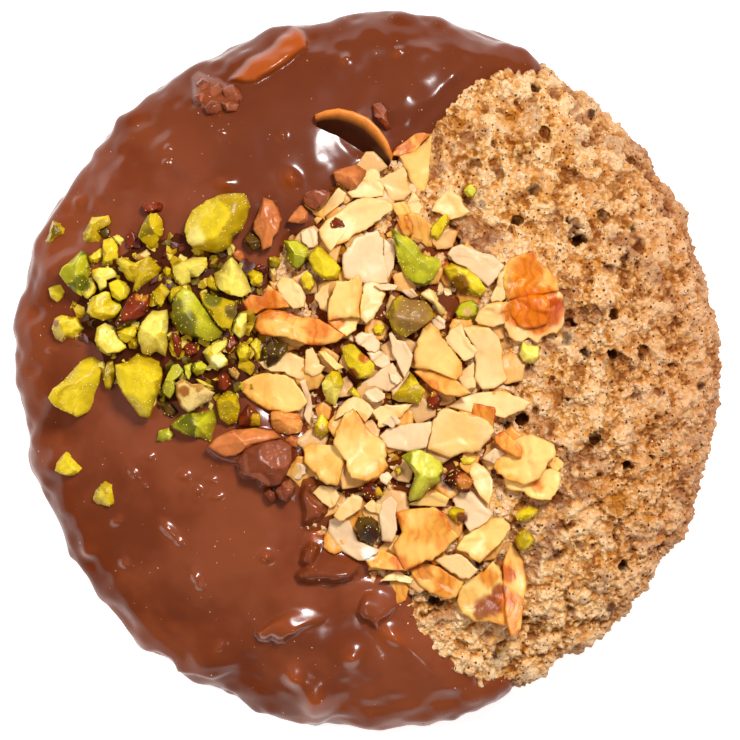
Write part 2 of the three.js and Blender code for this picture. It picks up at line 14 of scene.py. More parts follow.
import bmesh
import bpy
import numpy as np
from bpy.types import ID, Material, Node, NodeSocket, NodeTree, Object
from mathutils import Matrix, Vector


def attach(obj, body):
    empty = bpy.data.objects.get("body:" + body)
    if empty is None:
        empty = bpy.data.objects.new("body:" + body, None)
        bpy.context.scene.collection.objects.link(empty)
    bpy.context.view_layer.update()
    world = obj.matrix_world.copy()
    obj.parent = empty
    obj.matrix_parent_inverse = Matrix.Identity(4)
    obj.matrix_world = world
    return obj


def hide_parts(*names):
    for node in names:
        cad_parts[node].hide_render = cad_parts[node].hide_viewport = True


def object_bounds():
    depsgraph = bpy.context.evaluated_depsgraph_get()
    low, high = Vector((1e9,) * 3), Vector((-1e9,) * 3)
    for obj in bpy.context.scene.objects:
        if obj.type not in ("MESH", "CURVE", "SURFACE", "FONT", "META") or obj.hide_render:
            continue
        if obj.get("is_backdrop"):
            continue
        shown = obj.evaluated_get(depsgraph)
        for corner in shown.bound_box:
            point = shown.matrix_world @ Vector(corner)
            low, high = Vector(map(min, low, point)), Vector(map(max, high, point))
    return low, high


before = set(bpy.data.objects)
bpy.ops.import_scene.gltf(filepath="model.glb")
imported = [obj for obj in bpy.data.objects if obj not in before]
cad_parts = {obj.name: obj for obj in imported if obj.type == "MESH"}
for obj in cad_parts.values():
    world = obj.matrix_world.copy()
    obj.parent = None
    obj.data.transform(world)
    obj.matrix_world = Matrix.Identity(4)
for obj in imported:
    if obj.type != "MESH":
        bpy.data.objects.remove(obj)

logging.basicConfig(level=logging.INFO, format="%(message)s")
log = logging.getLogger("lebkuchen")

# Metres in a millimetre, the gap between dough and chocolate, and how far a nut sinks into what it lies on
METRES = 0.001
GAP = 0.3
SINK = 0.9
# The turn, in radians, from one point of an even spiral to the next
GOLDEN = math.pi * (3 - math.sqrt(5))
Array = np.ndarray
Rgba = tuple[float, float, float, float]
Rgb = tuple[int, int, int]


def linear(colour: Rgb) -> Rgba:
    """A screen colour of 0 to 255 as the linear colour that a shader takes."""
    channels = [value / 255 for value in colour]
    curve = [c / 12.92 if c <= 0.04045 else ((c + 0.055) / 1.055) ** 2.4 for c in channels]
    return (*curve, 1.0)


# Numbers that repeat


def chance(a: Array, b: float = 0.0, c: float = 0.0, d: float = 0.0) -> Array:
    """A repeatable number from 0 to 1 for up to four keys."""
    wave = np.sin(a * 12.9898 + b * 78.233 + c * 37.719 + d * 4.581) * 43758.5453
    return wave - np.floor(wave)


def lumps(x: Array, y: Array, z: Array, span: float = 1.0) -> Array:
    """Smooth lumps from -1 to 1, about a span apart."""
    places = [value / span for value in (x, y, z)]
    whole = [np.floor(value) for value in places]
    parts = [value - low for value, low in zip(places, whole)]
    eased = [part * part * (3 - 2 * part) for part in parts]
    total = np.zeros(np.broadcast(x, y, z).shape)
    for corner in np.ndindex(2, 2, 2):
        weight = 1.0
        for step, share in zip(corner, eased):
            weight = weight * (share if step else 1 - share)
        total += weight * chance(*(low + step for low, step in zip(whole, corner)))
    return 2 * total - 1


class Wave(NamedTuple):
    """Smooth lumps of one size: their height and their span."""

    height: float
    span: float


def waves(sizes: tuple[Wave, ...], x: Array, y: Array, z: Array) -> Array:
    """Smooth lumps of several sizes on top of each other."""
    return sum(size.height * lumps(x, y, z, size.span) for size in sizes)


def smooth(value: Array, low: float, high: float) -> Array:
    """0 below low, 1 above high, and an even curve between them."""
    share = np.clip((value - low) / (high - low), 0, 1)
    return share * share * (3 - 2 * share)


# The shared form of the biscuit


@dataclass(frozen=True)
class Photo:
    """The photograph's scale: it looks straight down at the biscuit."""

    centre: float = 369.5
    diameter: float = 706.0
    across: float = 98.8
    width: float = 740.0

    @property
    def scale(self) -> float:
        """Millimetres per pixel."""
        return self.across / self.diameter

    def place(self, px: float, py: float) -> Array:
        """The place in the plan of a pixel."""
        return np.array([(px - self.centre) * self.scale, (self.centre - py) * self.scale])


PHOTO = Photo()


def from_oval(middle: Array, radii: tuple[float, float], turn: float, x: Array, y: Array) -> Array:
    """How far points of the plan lie from an oval's middle, 1 on its outline; the turn is in degrees."""
    cosine, sine = math.cos(math.radians(turn)), math.sin(math.radians(turn))
    along = (x - middle[0]) * cosine + (y - middle[1]) * sine
    across = (y - middle[1]) * cosine - (x - middle[0]) * sine
    return np.hypot(along / radii[0], across / radii[1])


def from_line(line: Array, x: Array, y: Array) -> Array:
    """How far points of the plan lie from a line of straight runs."""
    nearest = np.full(x.shape, np.inf)
    for start, end in zip(line, line[1:]):
        run = end - start
        share = np.clip(((x - start[0]) * run[0] + (y - start[1]) * run[1]) / (run @ run), 0, 1)
        nearest = np.minimum(nearest, np.hypot(x - start[0] - share * run[0], y - start[1] - share * run[1]))
    return nearest


def is_inside(line: Array, x: Array, y: Array) -> Array:
    """Whether a run to the right from points of the plan crosses a line an odd number of times."""
    crossings = np.zeros(x.shape, int)
    for (ax, ay), (bx, by) in zip(line, line[1:]):
        if ay != by:
            spans = (ay > y) != (by > y)
            crossings += spans & (ax + (y - ay) / (by - ay) * (bx - ax) > x)
    return crossings % 2 == 1


def depth_behind(line: Array, x: Array, y: Array) -> Array:
    """The distance from a line, above zero on its inner side."""
    nearest = from_line(line, x, y)
    return np.where(is_inside(line, x, y), nearest, -nearest)


def depth_inside(outline: Array, x: Array, y: Array) -> Array:
    """The distance from a closed outline, above zero inside it."""
    return depth_behind(np.vstack([outline, outline[:1]]), x, y)


def numbers(table: str) -> Iterable[tuple[float, ...]]:
    """The numbers, with commas between them, of each word of a table."""
    for word in table.split():
        yield tuple(map(float, word.split(",")))


def places_of(corners: str) -> Array:
    """The places in the plan of corners in the photograph, each written as x,y."""
    return np.array([PHOTO.place(*pixel) for pixel in numbers(corners)])


def trace(corners: str) -> Array:
    """An outline in the plan, anticlockwise, from its corners in the photograph."""
    outline = places_of(corners)
    following = np.roll(outline, -1, axis=0)
    area = (outline[:, 0] * following[:, 1] - following[:, 0] * outline[:, 1]).sum()
    return outline if area > 0 else outline[::-1]


def middle_of(outline: Array) -> Array:
    """The centroid of an outline."""
    following = np.roll(outline, -1, axis=0)
    slices = outline[:, 0] * following[:, 1] - following[:, 0] * outline[:, 1]
    return ((outline + following) * slices[:, None]).sum(axis=0) / (3 * slices.sum())


def seed_at(middle: Array) -> float:
    """The number that a piece's chances start from, by its place in the plan."""
    return float(middle @ [1.7, 0.9])


def rim_radius(outline: Array, angle: Array) -> Array:
    """The distance from the origin to an outline round it, at angles in radians."""
    run = np.roll(outline, -1, axis=0) - outline
    x, y = np.cos(angle)[:, None], np.sin(angle)[:, None]
    turn = x * run[:, 1] - y * run[:, 0]
    turn = np.where(np.abs(turn) < 1e-9, 1e-9, turn)
    away = (outline[:, 0] * run[:, 1] - outline[:, 1] * run[:, 0]) / turn
    share = (outline[:, 0] * y - outline[:, 1] * x) / turn
    met = (share >= 0) & (share <= 1) & (away > 0)
    return np.where(met, away, 0.2).max(axis=1)


@dataclass(frozen=True)
class Mound:
    """An oval mound of nuts: its middle in the photograph, radii, turn in degrees and crown height."""

    photo: tuple[float, float]
    radii: tuple[float, float]
    turn: float
    height: float

    def crown(self, x: Array, y: Array) -> Array:
        """The mound's height, below zero outside it."""
        return self.height * (1 - from_oval(PHOTO.place(*self.photo), self.radii, self.turn, x, y) ** 2)


PISTACHIO_MOUND = Mound((178, 320), (16.0, 13.0), -14, 2.0)
ALMOND_MOUND = Mound((394, 383), (16.0, 31.0), 10, 2.6)


@dataclass(frozen=True)
class CoatEdge:
    """The free edge of the chocolate, from the rim at the top to the rim at the bottom."""

    photo: str = (
        "585,-30 538,62 500,62 466,86 436,112 418,134 385,158 343,186 304,215 268,262 250,330 260,402 "
        "288,455 298,500 302,548 328,572 368,580 398,598 414,628 444,662 476,688 505,693 540,790"
    )
    steps: int = 8

    @cached_property
    def points(self) -> Array:
        """The edge as a smooth line of points in the plan."""
        knots = places_of(self.photo)
        padded = np.vstack([knots[:1], knots, knots[-1:]])
        line = []
        for before, start, end, after in zip(padded, padded[1:], padded[2:], padded[3:]):
            leave, arrive = (end - before) / 2, (after - start) / 2
            for t in np.arange(self.steps) / self.steps:
                cubic = (2 * start - 2 * end + leave + arrive) * t**3
                square = (3 * end - 3 * start - 2 * leave - arrive) * t**2
                line.append(cubic + square + leave * t + start)
        return np.vstack([line, knots[-1:]])

    def inside(self, x: Array, y: Array) -> Array:
        """The distance from the edge, above zero under the chocolate."""
        return depth_behind(self.points, x, y)


COAT_EDGE = CoatEdge()


class Swell(NamedTuple):
    """Broad swells of the dough: their spacing, and their height on bare and on covered crumb."""

    span: float
    bare: float
    covered: float


@dataclass(frozen=True)
class Dough:
    """The form of the dough: a dome over a rim that draws in to the flat base."""

    radius: float = 48.3
    shift: float = 0.85
    height: float = 16.4
    rim_height: float = 3.4
    tuck: float = 1.8
    power: float = 3.1
    oval: float = 0.15
    bulge: tuple[float, float, float] = (160, 14, 0.9)
    swells: tuple[Swell, ...] = (Swell(11, 0.5, 0.5), Swell(4.6, 0.8, 0.2))
    fade: float = 3.0

    @cached_property
    def section(self) -> tuple[Array, Array]:
        """The section from the top centre to the base, and the run along it to each point."""
        turn = np.linspace(0, math.pi / 2, 61)
        dome_radius = self.radius * np.sin(turn) ** (2 / self.power)
        dome_height = self.rim_height + (self.height - self.rim_height) * np.cos(turn)
        tuck_radius = self.radius - self.tuck * (1 - np.cos(turn[1:]))
        tuck_height = self.rim_height * (1 - np.sin(turn[1:]))
        line = np.column_stack([np.append(dome_radius, tuck_radius), np.append(dome_height, tuck_height)])
        steps = np.hypot(*np.diff(line, axis=0).T)
        return line, np.append(0, np.cumsum(steps))

    @property
    def reach(self) -> float:
        """The whole run from the top centre to the base's edge."""
        return float(self.section[1][-1])

    def outline(self, angle: Array) -> Array:
        """The radius of the plan at angles in radians."""
        middle, width, rise = self.bulge
        away = (np.degrees(angle) - middle + 180) % 360 - 180
        return self.radius - self.oval * np.cos(2 * angle) + rise * np.exp(-((away / width) ** 2))

    def bareness(self, x: Array, y: Array) -> Array:
        """0 under chocolate and nuts, and 1 well clear of both."""
        clear = smooth(-COAT_EDGE.inside(x, y), 0, self.fade)
        return clear * smooth(-ALMOND_MOUND.crown(x, y) / ALMOND_MOUND.height, 0, 0.5)

    def swell(self, x: Array, y: Array, z: Array) -> Array:
        """The height of the swells at points of the surface, fading out towards the base."""
        bare = self.bareness(x, y)
        total = np.zeros(x.shape)
        for swell in self.swells:
            height = swell.covered + (swell.bare - swell.covered) * bare
            total += height * lumps(x, y, z, swell.span)
        return total * smooth(z, 0, self.rim_height)

    def surface(self, run: Array, angle: Array) -> tuple[Array, Array]:
        """Points of the surface and their outward directions.

        Args:
            run: The run along the section from the top centre.
            angle: The angle about the middle, in radians.

        Returns:
            The places, swells included, and the unit normals of the plain dome.
        """
        line, along = self.section
        radius, height = (np.interp(run, along, line[:, axis]) for axis in (0, 1))
        slope = np.gradient(line, along, axis=0)
        lean, rise = np.interp(run, along, -slope[:, 1]), np.interp(run, along, slope[:, 0])
        size = np.hypot(lean, rise)
        across = np.column_stack([np.cos(angle), np.sin(angle)])
        normal = np.column_stack([across * (lean / size)[:, None], rise / size])
        plan = across * (radius * self.outline(angle) / self.radius)[:, None] + [self.shift, 0]
        swell = self.swell(plan[:, 0], plan[:, 1], height)
        return np.column_stack([plan, height]) + normal * swell[:, None], normal

    def top(self, x: Array, y: Array) -> Array:
        """The height of the bare dough."""
        share = np.hypot(x - self.shift, y) / self.outline(np.arctan2(y, x - self.shift))
        dome = np.sqrt(np.maximum(0, 1 - np.minimum(1, share) ** self.power))
        z = self.rim_height + (self.height - self.rim_height) * dome
        return z + self.swell(x, y, z)


DOUGH = Dough()


# Meshes


def add_object(name: str, data: ID) -> Object:
    """A new object in the scene."""
    added = bpy.data.objects.new(name, data)
    bpy.context.scene.collection.objects.link(added)
    return added


@dataclass
class Patch:
    """A part of a mesh: points, triangles, and a colour and a share for each point."""

    points: Array
    faces: Array
    tint: Array | None = None
    share: Array | None = None

    @staticmethod
    def joined(patches: Iterable["Patch"]) -> "Patch":
        """Several patches as one."""
        patches = list(patches)
        starts = np.cumsum([0] + [len(patch.points) for patch in patches[:-1]])
        faces = [patch.faces + start for patch, start in zip(patches, starts)]
        tint = None if patches[0].tint is None else np.vstack([patch.tint for patch in patches])
        share = None if patches[0].share is None else np.concatenate([patch.share for patch in patches])
        return Patch(np.vstack([patch.points for patch in patches]), np.vstack(faces), tint, share)

    def build(self, name: str, material: Material) -> Object:
        """The patch as a smooth mesh object in the scene."""
        mesh = bpy.data.meshes.new(name)
        mesh.from_pydata((self.points * METRES).tolist(), [], self.faces.tolist())
        if self.tint is not None:
            colours = mesh.attributes.new("tint", "FLOAT_COLOR", "POINT")
            colours.data.foreach_set("color", self.tint.astype(np.float32).ravel())
        if self.share is not None:
            shares = mesh.attributes.new("share", "FLOAT", "POINT")
            shares.data.foreach_set("value", self.share.astype(np.float32))
        mesh.materials.append(material)
        mesh.shade_smooth()
        return add_object(name, mesh)


@dataclass(frozen=True)
class Net:
    """An even net of triangles over the dough, laid out on its unrolled surface."""

    spacing: float
    reach: float = DOUGH.reach

    def lay(self, keep: Callable[[Array, Array], Array]) -> tuple[Array, ...]:
        """The net over the part of the plan that is kept.

        Args:
            keep: Which points of the plan are kept, from their x and y.

        Returns:
            The run along the section and the angle of each point, and the triangles.
        """
        rise = self.spacing * math.sqrt(3) / 2
        rows = int(self.reach / rise) + 2
        columns = int(self.reach / self.spacing) + 2
        row, column = np.mgrid[-rows : rows + 1, -columns : columns + 1]
        along = (column + 0.5 * (row % 2)) * self.spacing
        across = row * rise
        run, angle = np.hypot(along, across), np.arctan2(across, along)
        near = run <= self.reach + self.spacing
        places, _ = DOUGH.surface(np.minimum(run[near], self.reach), angle[near])
        kept = near.copy()
        kept[near] = keep(places[:, 0], places[:, 1])
        number = np.full(run.shape, -1)
        number[kept] = np.arange(kept.sum())
        a, b = number[:-1, :-1], number[:-1, 1:]
        c, d = number[1:, :-1], number[1:, 1:]
        odd = (row[:-1, :-1] % 2) == 1
        first = np.stack([a, b, np.where(odd, d, c)], axis=-1).reshape(-1, 3)
        second = np.stack([np.where(odd, a, b), d, c], axis=-1).reshape(-1, 3)
        faces = np.vstack([first, second])
        faces = faces[(faces >= 0).all(axis=1)]
        run, angle = np.minimum(run[kept], self.reach), angle[kept]
        faces = faces[(run[faces] < self.reach).any(axis=1)]
        return run, angle, faces


@cache
def unit_sphere(subdivisions: int) -> tuple[Array, Array]:
    """The corners and triangles of an even unit sphere."""
    ball = bmesh.new()
    bmesh.ops.create_icosphere(ball, subdivisions=subdivisions, radius=1.0)
    points = np.array([vertex.co[:] for vertex in ball.verts])
    faces = np.array([[vertex.index for vertex in face.verts] for face in ball.faces])
    ball.free()
    return points / np.linalg.norm(points, axis=1)[:, None], faces


# Node trees


class Tree:
    """Adds and links the nodes of a shader or a Geometry Nodes tree."""

    def __init__(self, tree: NodeTree) -> None:
        """Keeps the tree to add to."""
        self.tree = tree

    def add(self, kind: str, inputs: dict | None = None, **settings: object) -> Node:
        """A new node.

        Args:
            kind: The node's type.
            inputs: A value or a linked socket for each named or numbered input.
            settings: The node's own properties.

        Returns:
            The node.
        """
        node = self.tree.nodes.new(kind)
        for name, value in settings.items():
            setattr(node, name, value)
        self.fill(node, inputs or {})
        return node

    def fill(self, node: Node, inputs: dict) -> None:
        """Gives named or numbered inputs of a node their values or linked sockets."""
        for key, value in inputs.items():
            if isinstance(value, NodeSocket):
                self.tree.links.new(value, node.inputs[key])
            else:
                node.inputs[key].default_value = value

    def math(self, operation: str, *values: object) -> NodeSocket:
        """The result of a sum on numbers or sockets."""
        return self.add("ShaderNodeMath", dict(enumerate(values)), operation=operation).outputs[0]

    def ramp(self, value: object, low: float, high: float, start: float = 0, end: float = 1) -> NodeSocket:
        """A smooth rise from start at low to end at high."""
        inputs = {"Value": value, "From Min": low, "From Max": high, "To Min": start, "To Max": end}
        return self.add("ShaderNodeMapRange", inputs, interpolation_type="SMOOTHSTEP").outputs[0]

    def blend(self, share: object, first: object, second: object, mode: str = "MIX") -> NodeSocket:
        """A blend of two colours."""
        inputs = {0: share, 6: first, 7: second}
        return self.add("ShaderNodeMix", inputs, data_type="RGBA", blend_type=mode).outputs[2]

    def noise(self, place: object, span: float, detail: float = 2.0, output: int = 0) -> NodeSocket:
        """Soft noise from 0 to 1, a number or as output 1 a colour, with its patches a span apart in mm."""
        inputs = {"Vector": place, "Scale": 1 / span, "Detail": detail, "Roughness": 0.55}
        return self.add("ShaderNodeTexNoise", inputs).outputs[output]

    def cells(self, place: object, span: float) -> Node:
        """Cells a span apart in millimetres."""
        return self.add("ShaderNodeTexVoronoi", {"Vector": place, "Scale": 1 / span})

    def warped(self, place: object, span: float, amount: float) -> NodeSocket:
        """A place moved by soft noise, so that what follows it loses its regular form."""
        inputs = {0: self.noise(place, span, output=1), 1: (amount,) * 3, 2: place}
        return self.add("ShaderNodeVectorMath", inputs, operation="MULTIPLY_ADD").outputs[0]

    def scaled(self, vector: object, scale: object) -> NodeSocket:
        """A vector times a number."""
        return self.add("ShaderNodeVectorMath", {0: vector, "Scale": scale}, operation="SCALE").outputs[0]

    def millimetres(self, place: object) -> NodeSocket:
        """A place in metres, in millimetres."""
        return self.scaled(place, 1 / METRES)

    def kept(self, name: str) -> Mapping[str, NodeSocket]:
        """What a mesh keeps under a name, as the outputs of a node."""
        return self.add("ShaderNodeAttribute", attribute_name=name).outputs

    def bump(self, height: object, strength: float, distance: float) -> NodeSocket:
        """The direction of a surface with small heights; the distance is in metres."""
        inputs = {"Strength": strength, "Distance": distance, "Height": height}
        return self.add("ShaderNodeBump", inputs).outputs[0]

    def random_number(self, low: object, high: object, seed: object) -> NodeSocket:
        """A random number for each point."""
        inputs = {2: low, 3: high, "Seed": seed}
        return self.add("FunctionNodeRandomValue", inputs, data_type="FLOAT").outputs[1]

    def random_vector(self, low: object, high: object, seed: object) -> NodeSocket:
        """A random vector for each point."""
        inputs = {0: low, 1: high, "Seed": seed}
        return self.add("FunctionNodeRandomValue", inputs, data_type="FLOAT_VECTOR").outputs[0]

    def keep(self, geometry: object, name: str, value: object, domain: str = "POINT") -> NodeSocket:
        """A geometry that keeps a number under a name."""
        inputs = {"Geometry": geometry, "Name": name, "Value": value}
        settings = {"data_type": "FLOAT", "domain": domain}
        return self.add("GeometryNodeStoreNamedAttribute", inputs, **settings).outputs[0]


class Growth:
    """A Geometry Nodes tree that works on a piece and is then baked into its mesh."""

    def __init__(self, name: str, values: dict[str, float]) -> None:
        """Makes the tree with a geometry input and named number inputs.

        Args:
            name: The tree's name.
            values: The value of each input, whole where the input is a whole number.
        """
        self.values = values
        self.group = bpy.data.node_groups.new(name, "GeometryNodeTree")
        self.group.interface.new_socket("Geometry", in_out="INPUT", socket_type="NodeSocketGeometry")
        self.group.interface.new_socket("Geometry", in_out="OUTPUT", socket_type="NodeSocketGeometry")
        for label, value in values.items():
            kind = "Int" if isinstance(value, int) else "Float"
            self.group.interface.new_socket(label, in_out="INPUT", socket_type=f"NodeSocket{kind}")
        self.tree = Tree(self.group)
        self.inputs = self.tree.add("NodeGroupInput").outputs

    def close(self, geometry: NodeSocket, material: Material, rounded: bool = True) -> None:
        """Ends the tree: instances become real, and everything takes the material and its shading."""
        real = self.tree.add("GeometryNodeRealizeInstances", {0: geometry}).outputs[0]
        shade = {"Geometry": real, "Shade Smooth": rounded}
        shaded = self.tree.add("GeometryNodeSetShadeSmooth", shade).outputs[0]
        done = self.tree.add("GeometryNodeSetMaterial", {0: shaded, "Material": material}).outputs[0]
        self.tree.add("NodeGroupOutput", {0: done})

    def bake(self, piece: Object) -> Object:
        """Runs the tree on a piece and leaves the result as its plain mesh."""
        modifier = piece.modifiers.new(self.group.name, "NODES")
        modifier.node_group = self.group
        for item in self.group.interface.items_tree:
            if item.in_out == "INPUT" and item.name in self.values:
                modifier[item.identifier] = self.values[item.name]
        graph = bpy.context.evaluated_depsgraph_get()
        mesh = bpy.data.meshes.new_from_object(piece.evaluated_get(graph))
        piece.modifiers.clear()
        piece.data = mesh
        return piece


# Finishes


class Finish:
    """A named look, made into a material from the inputs of its surface shader."""

    name: str

    def looks(self, tree: Tree) -> dict[str, object]:
        """The inputs of the surface shader, as values or as sockets of the material's tree."""
        raise NotImplementedError

    def material(self) -> Material:
        """The finish as a material."""
        material = bpy.data.materials.new(self.name)
        material.use_nodes = True
        tree = Tree(material.node_tree)
        tree.fill(material.node_tree.nodes["Principled BSDF"], self.looks(tree))
        return material


@dataclass(frozen=True)
class CrumbFinish(Finish):
    """Baked nut dough: sandy grains, amber patches, flecks of spice, painted shade in gaps and hollows,
    painted glints.
    """

    name: str = "crumb"
    pale: Rgb = (240, 199, 150)
    beige: Rgb = (226, 171, 106)
    tan: Rgb = (207, 139, 62)
    amber: Rgb = (200, 120, 22)
    # gap is painted shade: the colour between the grains and low in the relief
    gap: Rgb = (172, 94, 12)
    mauve: Rgb = (150, 96, 70)
    # hollow is painted shade in the low parts of the relief
    hollow: Rgb = (112, 50, 14)
    speck: Rgb = (66, 20, 4)
    glint: Rgb = (255, 246, 230)
    rim: Rgb = (232, 214, 205)
    roughness: float = 0.5

    def looks(self, tree: Tree) -> dict[str, object]:
        """The inputs of the surface shader."""
        place = tree.millimetres(tree.add("ShaderNodeTexCoord").outputs["Object"])
        kind = tree.kept("kind")["Fac"]
        height = tree.kept("height")["Fac"]
        spots = tree.kept("tint")
        right, _, up = tree.add("ShaderNodeSeparateXYZ", {0: place}).outputs
        loose = tree.warped(place, 0.6, 0.5)
        ball = tree.ramp(tree.cells(loose, 0.6).outputs["Distance"], 0.85, 0.1, 0, 0.3)
        clump = tree.math("MULTIPLY_ADD", tree.noise(place, 1.6, 4.0), 0.45, ball)
        # Painted shade with grain tone: low relief and the edges of the grain cells run to the dark gap
        # colour, the grains' tops to pale
        fine = tree.math("MULTIPLY_ADD", height, 0.45, clump)
        patches = (
            (tree.ramp(fine, 0.2, 0.4), self.tan),
            (tree.ramp(fine, 0.32, 0.52), self.beige),
            (tree.ramp(fine, 0.46, 0.72), self.pale),
            (tree.ramp(tree.noise(place, 2.2, 3.0), 0.56, 0.68, 0, 0.4), self.amber),
            (tree.ramp(tree.noise(place, 5.5, 4.0), 0.46, 0.34, 0, 0.4), self.mauve),
            (tree.ramp(kind, 0.9, 0.94, 0, 0.35), self.amber),
            (tree.ramp(up, 9.0, 3.0, 0, 0.4), self.mauve),
            # Painted shade where the relief is low
            (tree.ramp(height, 0.22, 0.0, 0, 0.6), self.hollow),
        )
        colour = linear(self.gap)
        for share, patch in patches:
            colour = tree.blend(share, colour, linear(patch))
        # Darker and greyer towards the right edge of the crumb
        colour = tree.blend(tree.ramp(right, 24.0, 47.0, 0, 0.9), colour, linear(self.rim), "MULTIPLY")
        colour = tree.blend(spots["Alpha"], colour, spots["Color"])
        # The last dots are painted glints, white highlights; the others are dark flecks of spice
        dots = (
            (0.5, 0.26, self.speck),
            (0.8, 0.26, self.speck),
            (1.9, 0.14, self.speck),
            (1.1, 0.1, self.glint),
        )
        for span, largest, dot in dots:
            cells = tree.cells(place, span)
            chosen = tree.add("ShaderNodeSeparateColor", {0: cells.outputs["Color"]}).outputs[1]
            size = tree.ramp(chosen, 0.25, 1.0, 0, largest)
            dotted = tree.math("LESS_THAN", cells.outputs["Distance"], size)
            colour = tree.blend(tree.math("MULTIPLY", dotted, 0.9), colour, linear(dot))
        sandy = tree.math("MULTIPLY_ADD", tree.noise(place, 0.3, 2.0), 0.5, fine)
        return {
            "Base Color": colour,
            "Normal": tree.bump(sandy, 0.9, 0.0006),
            "Specular IOR Level": tree.math("MULTIPLY_ADD", spots["Alpha"], -0.15, 0.15),
            "Roughness": self.roughness,
        }


@dataclass(frozen=True)
class ChocolateFinish(Finish):
    """Set milk chocolate: satin, with painted shade towards the back, warmer where it is thin, with painted
    warm light at the lower left of its pimples, duller at its foot, specked.
    """

    name: str = "milk_chocolate"
    base: Rgb = (130, 62, 32)
    dark: Rgb = (110, 46, 16)
    deep: Rgb = (98, 42, 17)
    caramel: Rgb = (164, 74, 18)
    speck: Rgb = (196, 140, 110)
    roughness: float = 0.2
    gloss: float = 0.42
    foot_gloss: float = 0.07

    def looks(self, tree: Tree) -> dict[str, object]:
        """The inputs of the surface shader."""
        place = tree.millimetres(tree.add("ShaderNodeTexCoord").outputs["Object"])
        thin = tree.kept("share")["Fac"]
        mottle = tree.noise(place, 13.0, 4.0)
        colour = tree.blend(tree.ramp(mottle, 0.38, 0.62), linear(self.dark), linear(self.base))
        x, y, up = tree.add("ShaderNodeSeparateXYZ", {0: place}).outputs
        far = tree.math("MULTIPLY_ADD", x, 0.6, y)
        # Painted shade: darker towards the back, in the deep colour
        colour = tree.blend(tree.ramp(far, 2.0, 28.0, 0, 0.8), colour, linear(self.deep))
        # Caramel where the coat is thin over nuts, and painted warm light at the lower left of the pimples
        colour = tree.blend(thin, colour, linear(self.caramel))
        specks = tree.cells(place, 2.3).outputs["Distance"]
        colour = tree.blend(tree.ramp(specks, 0.03, 0.06, 0.5, 0), colour, linear(self.speck))
        return {
            "Base Color": colour,
            "Normal": tree.bump(tree.noise(place, 2.2, 2.0), 0.12, 0.0002),
            "Specular IOR Level": tree.ramp(up, 7.0, 14.0, self.foot_gloss, self.gloss),
            "Roughness": self.roughness,
        }


@dataclass(frozen=True)
class NutFinish(Finish):
    """Cut nut: the tint of each piece, mottled, and slightly see-through, with ridges where it is toasted."""

    name: str
    mottle: float
    spread: tuple[float, float, float]
    roughness: float = 0.32
    specular: float = 0.25
    depth: float = 0.9
    ridges: float = 0.0

    def looks(self, tree: Tree) -> dict[str, object]:
        """The inputs of the surface shader."""
        place = tree.millimetres(tree.add("ShaderNodeTexCoord").outputs["Object"])
        tint = tree.kept("tint")["Color"]
        light = tree.ramp(tree.noise(place, 0.9, 4.0), 0.3, 0.7, 1 - self.mottle, 1 + 0.5 * self.mottle)
        colour = tree.scaled(tint, light)
        grain = tree.noise(place, 0.3, 3.0)
        if self.ridges:
            blue = tree.add("ShaderNodeSeparateColor", {0: tint}).outputs[2]
            toasted = tree.ramp(blue, 0.16, 0.02, 0, self.ridges)
            bands = {"Vector": tree.warped(place, 3.0, 4.0), "Scale": 0.22, "Distortion": 4.0, "Detail": 2.0}
            wave = tree.add("ShaderNodeTexWave", bands).outputs["Fac"]
            furrow = tree.math("MULTIPLY", tree.ramp(wave, 0.6, 0.1), toasted)
            colour = tree.blend(furrow, colour, linear(TOAST), "MULTIPLY")
            grain = tree.math("MULTIPLY_ADD", furrow, -4.0, grain)
        return {
            "Base Color": colour,
            "Normal": tree.bump(grain, 0.25, 0.0001),
            "Roughness": self.roughness,
            "Specular IOR Level": self.specular,
            "Subsurface Weight": 0.35,
            "Subsurface Radius": self.spread,
            "Subsurface Scale": self.depth * METRES,
        }


@dataclass(frozen=True)
class GrainFinish(Finish):
    """Fine chopped nut: one colour a grain, from a short list."""

    name: str
    colours: tuple[Rgb, ...]
    roughness: float = 0.5

    def looks(self, tree: Tree) -> dict[str, object]:
        """The inputs of the surface shader."""
        kind = tree.kept("kind")["Fac"]
        colour = linear(self.colours[0])
        for number, next_colour in enumerate(self.colours[1:], start=1):
            edge = number / len(self.colours)
            colour = tree.blend(tree.ramp(kind, edge - 0.02, edge + 0.02), colour, linear(next_colour))
        return {"Base Color": colour, "Roughness": self.roughness}


@dataclass(frozen=True)
class PlainFinish(Finish):
    """One even colour, which may glow."""

    name: str
    colour: Rgb
    roughness: float
    glow: float = 0.0

    def looks(self, tree: Tree) -> dict[str, object]:
        """The inputs of the surface shader."""
        return {
            "Base Color": linear(self.colour),
            "Roughness": self.roughness,
            "Specular IOR Level": 0.1,
            "Emission Color": linear(self.colour),
            "Emission Strength": self.glow,
        }


class NutLook(Enum):
    """The colours of a nut's fresh cuts and of its skin."""

    PALE = ((246, 224, 104), (206, 174, 14))
    YELLOW = ((232, 202, 34), (176, 140, 0))
    GREEN = ((196, 186, 34), (92, 90, 2))
    LIME = ((214, 204, 62), (138, 130, 4))
    OLIVE = ((206, 172, 16), (112, 88, 2))
    # DARK is darker nut, and painted shade on pieces that lie in shadow
    DARK = ((96, 66, 12), (52, 30, 4))
    RED = ((134, 46, 14), (70, 16, 4))
    TAN = ((234, 200, 124), (180, 122, 40))
    COATED = ((160, 86, 54), (116, 54, 28))
    CARAMEL = ((212, 126, 66), (170, 84, 40))
    CRUST = ((240, 164, 84), (206, 104, 30))


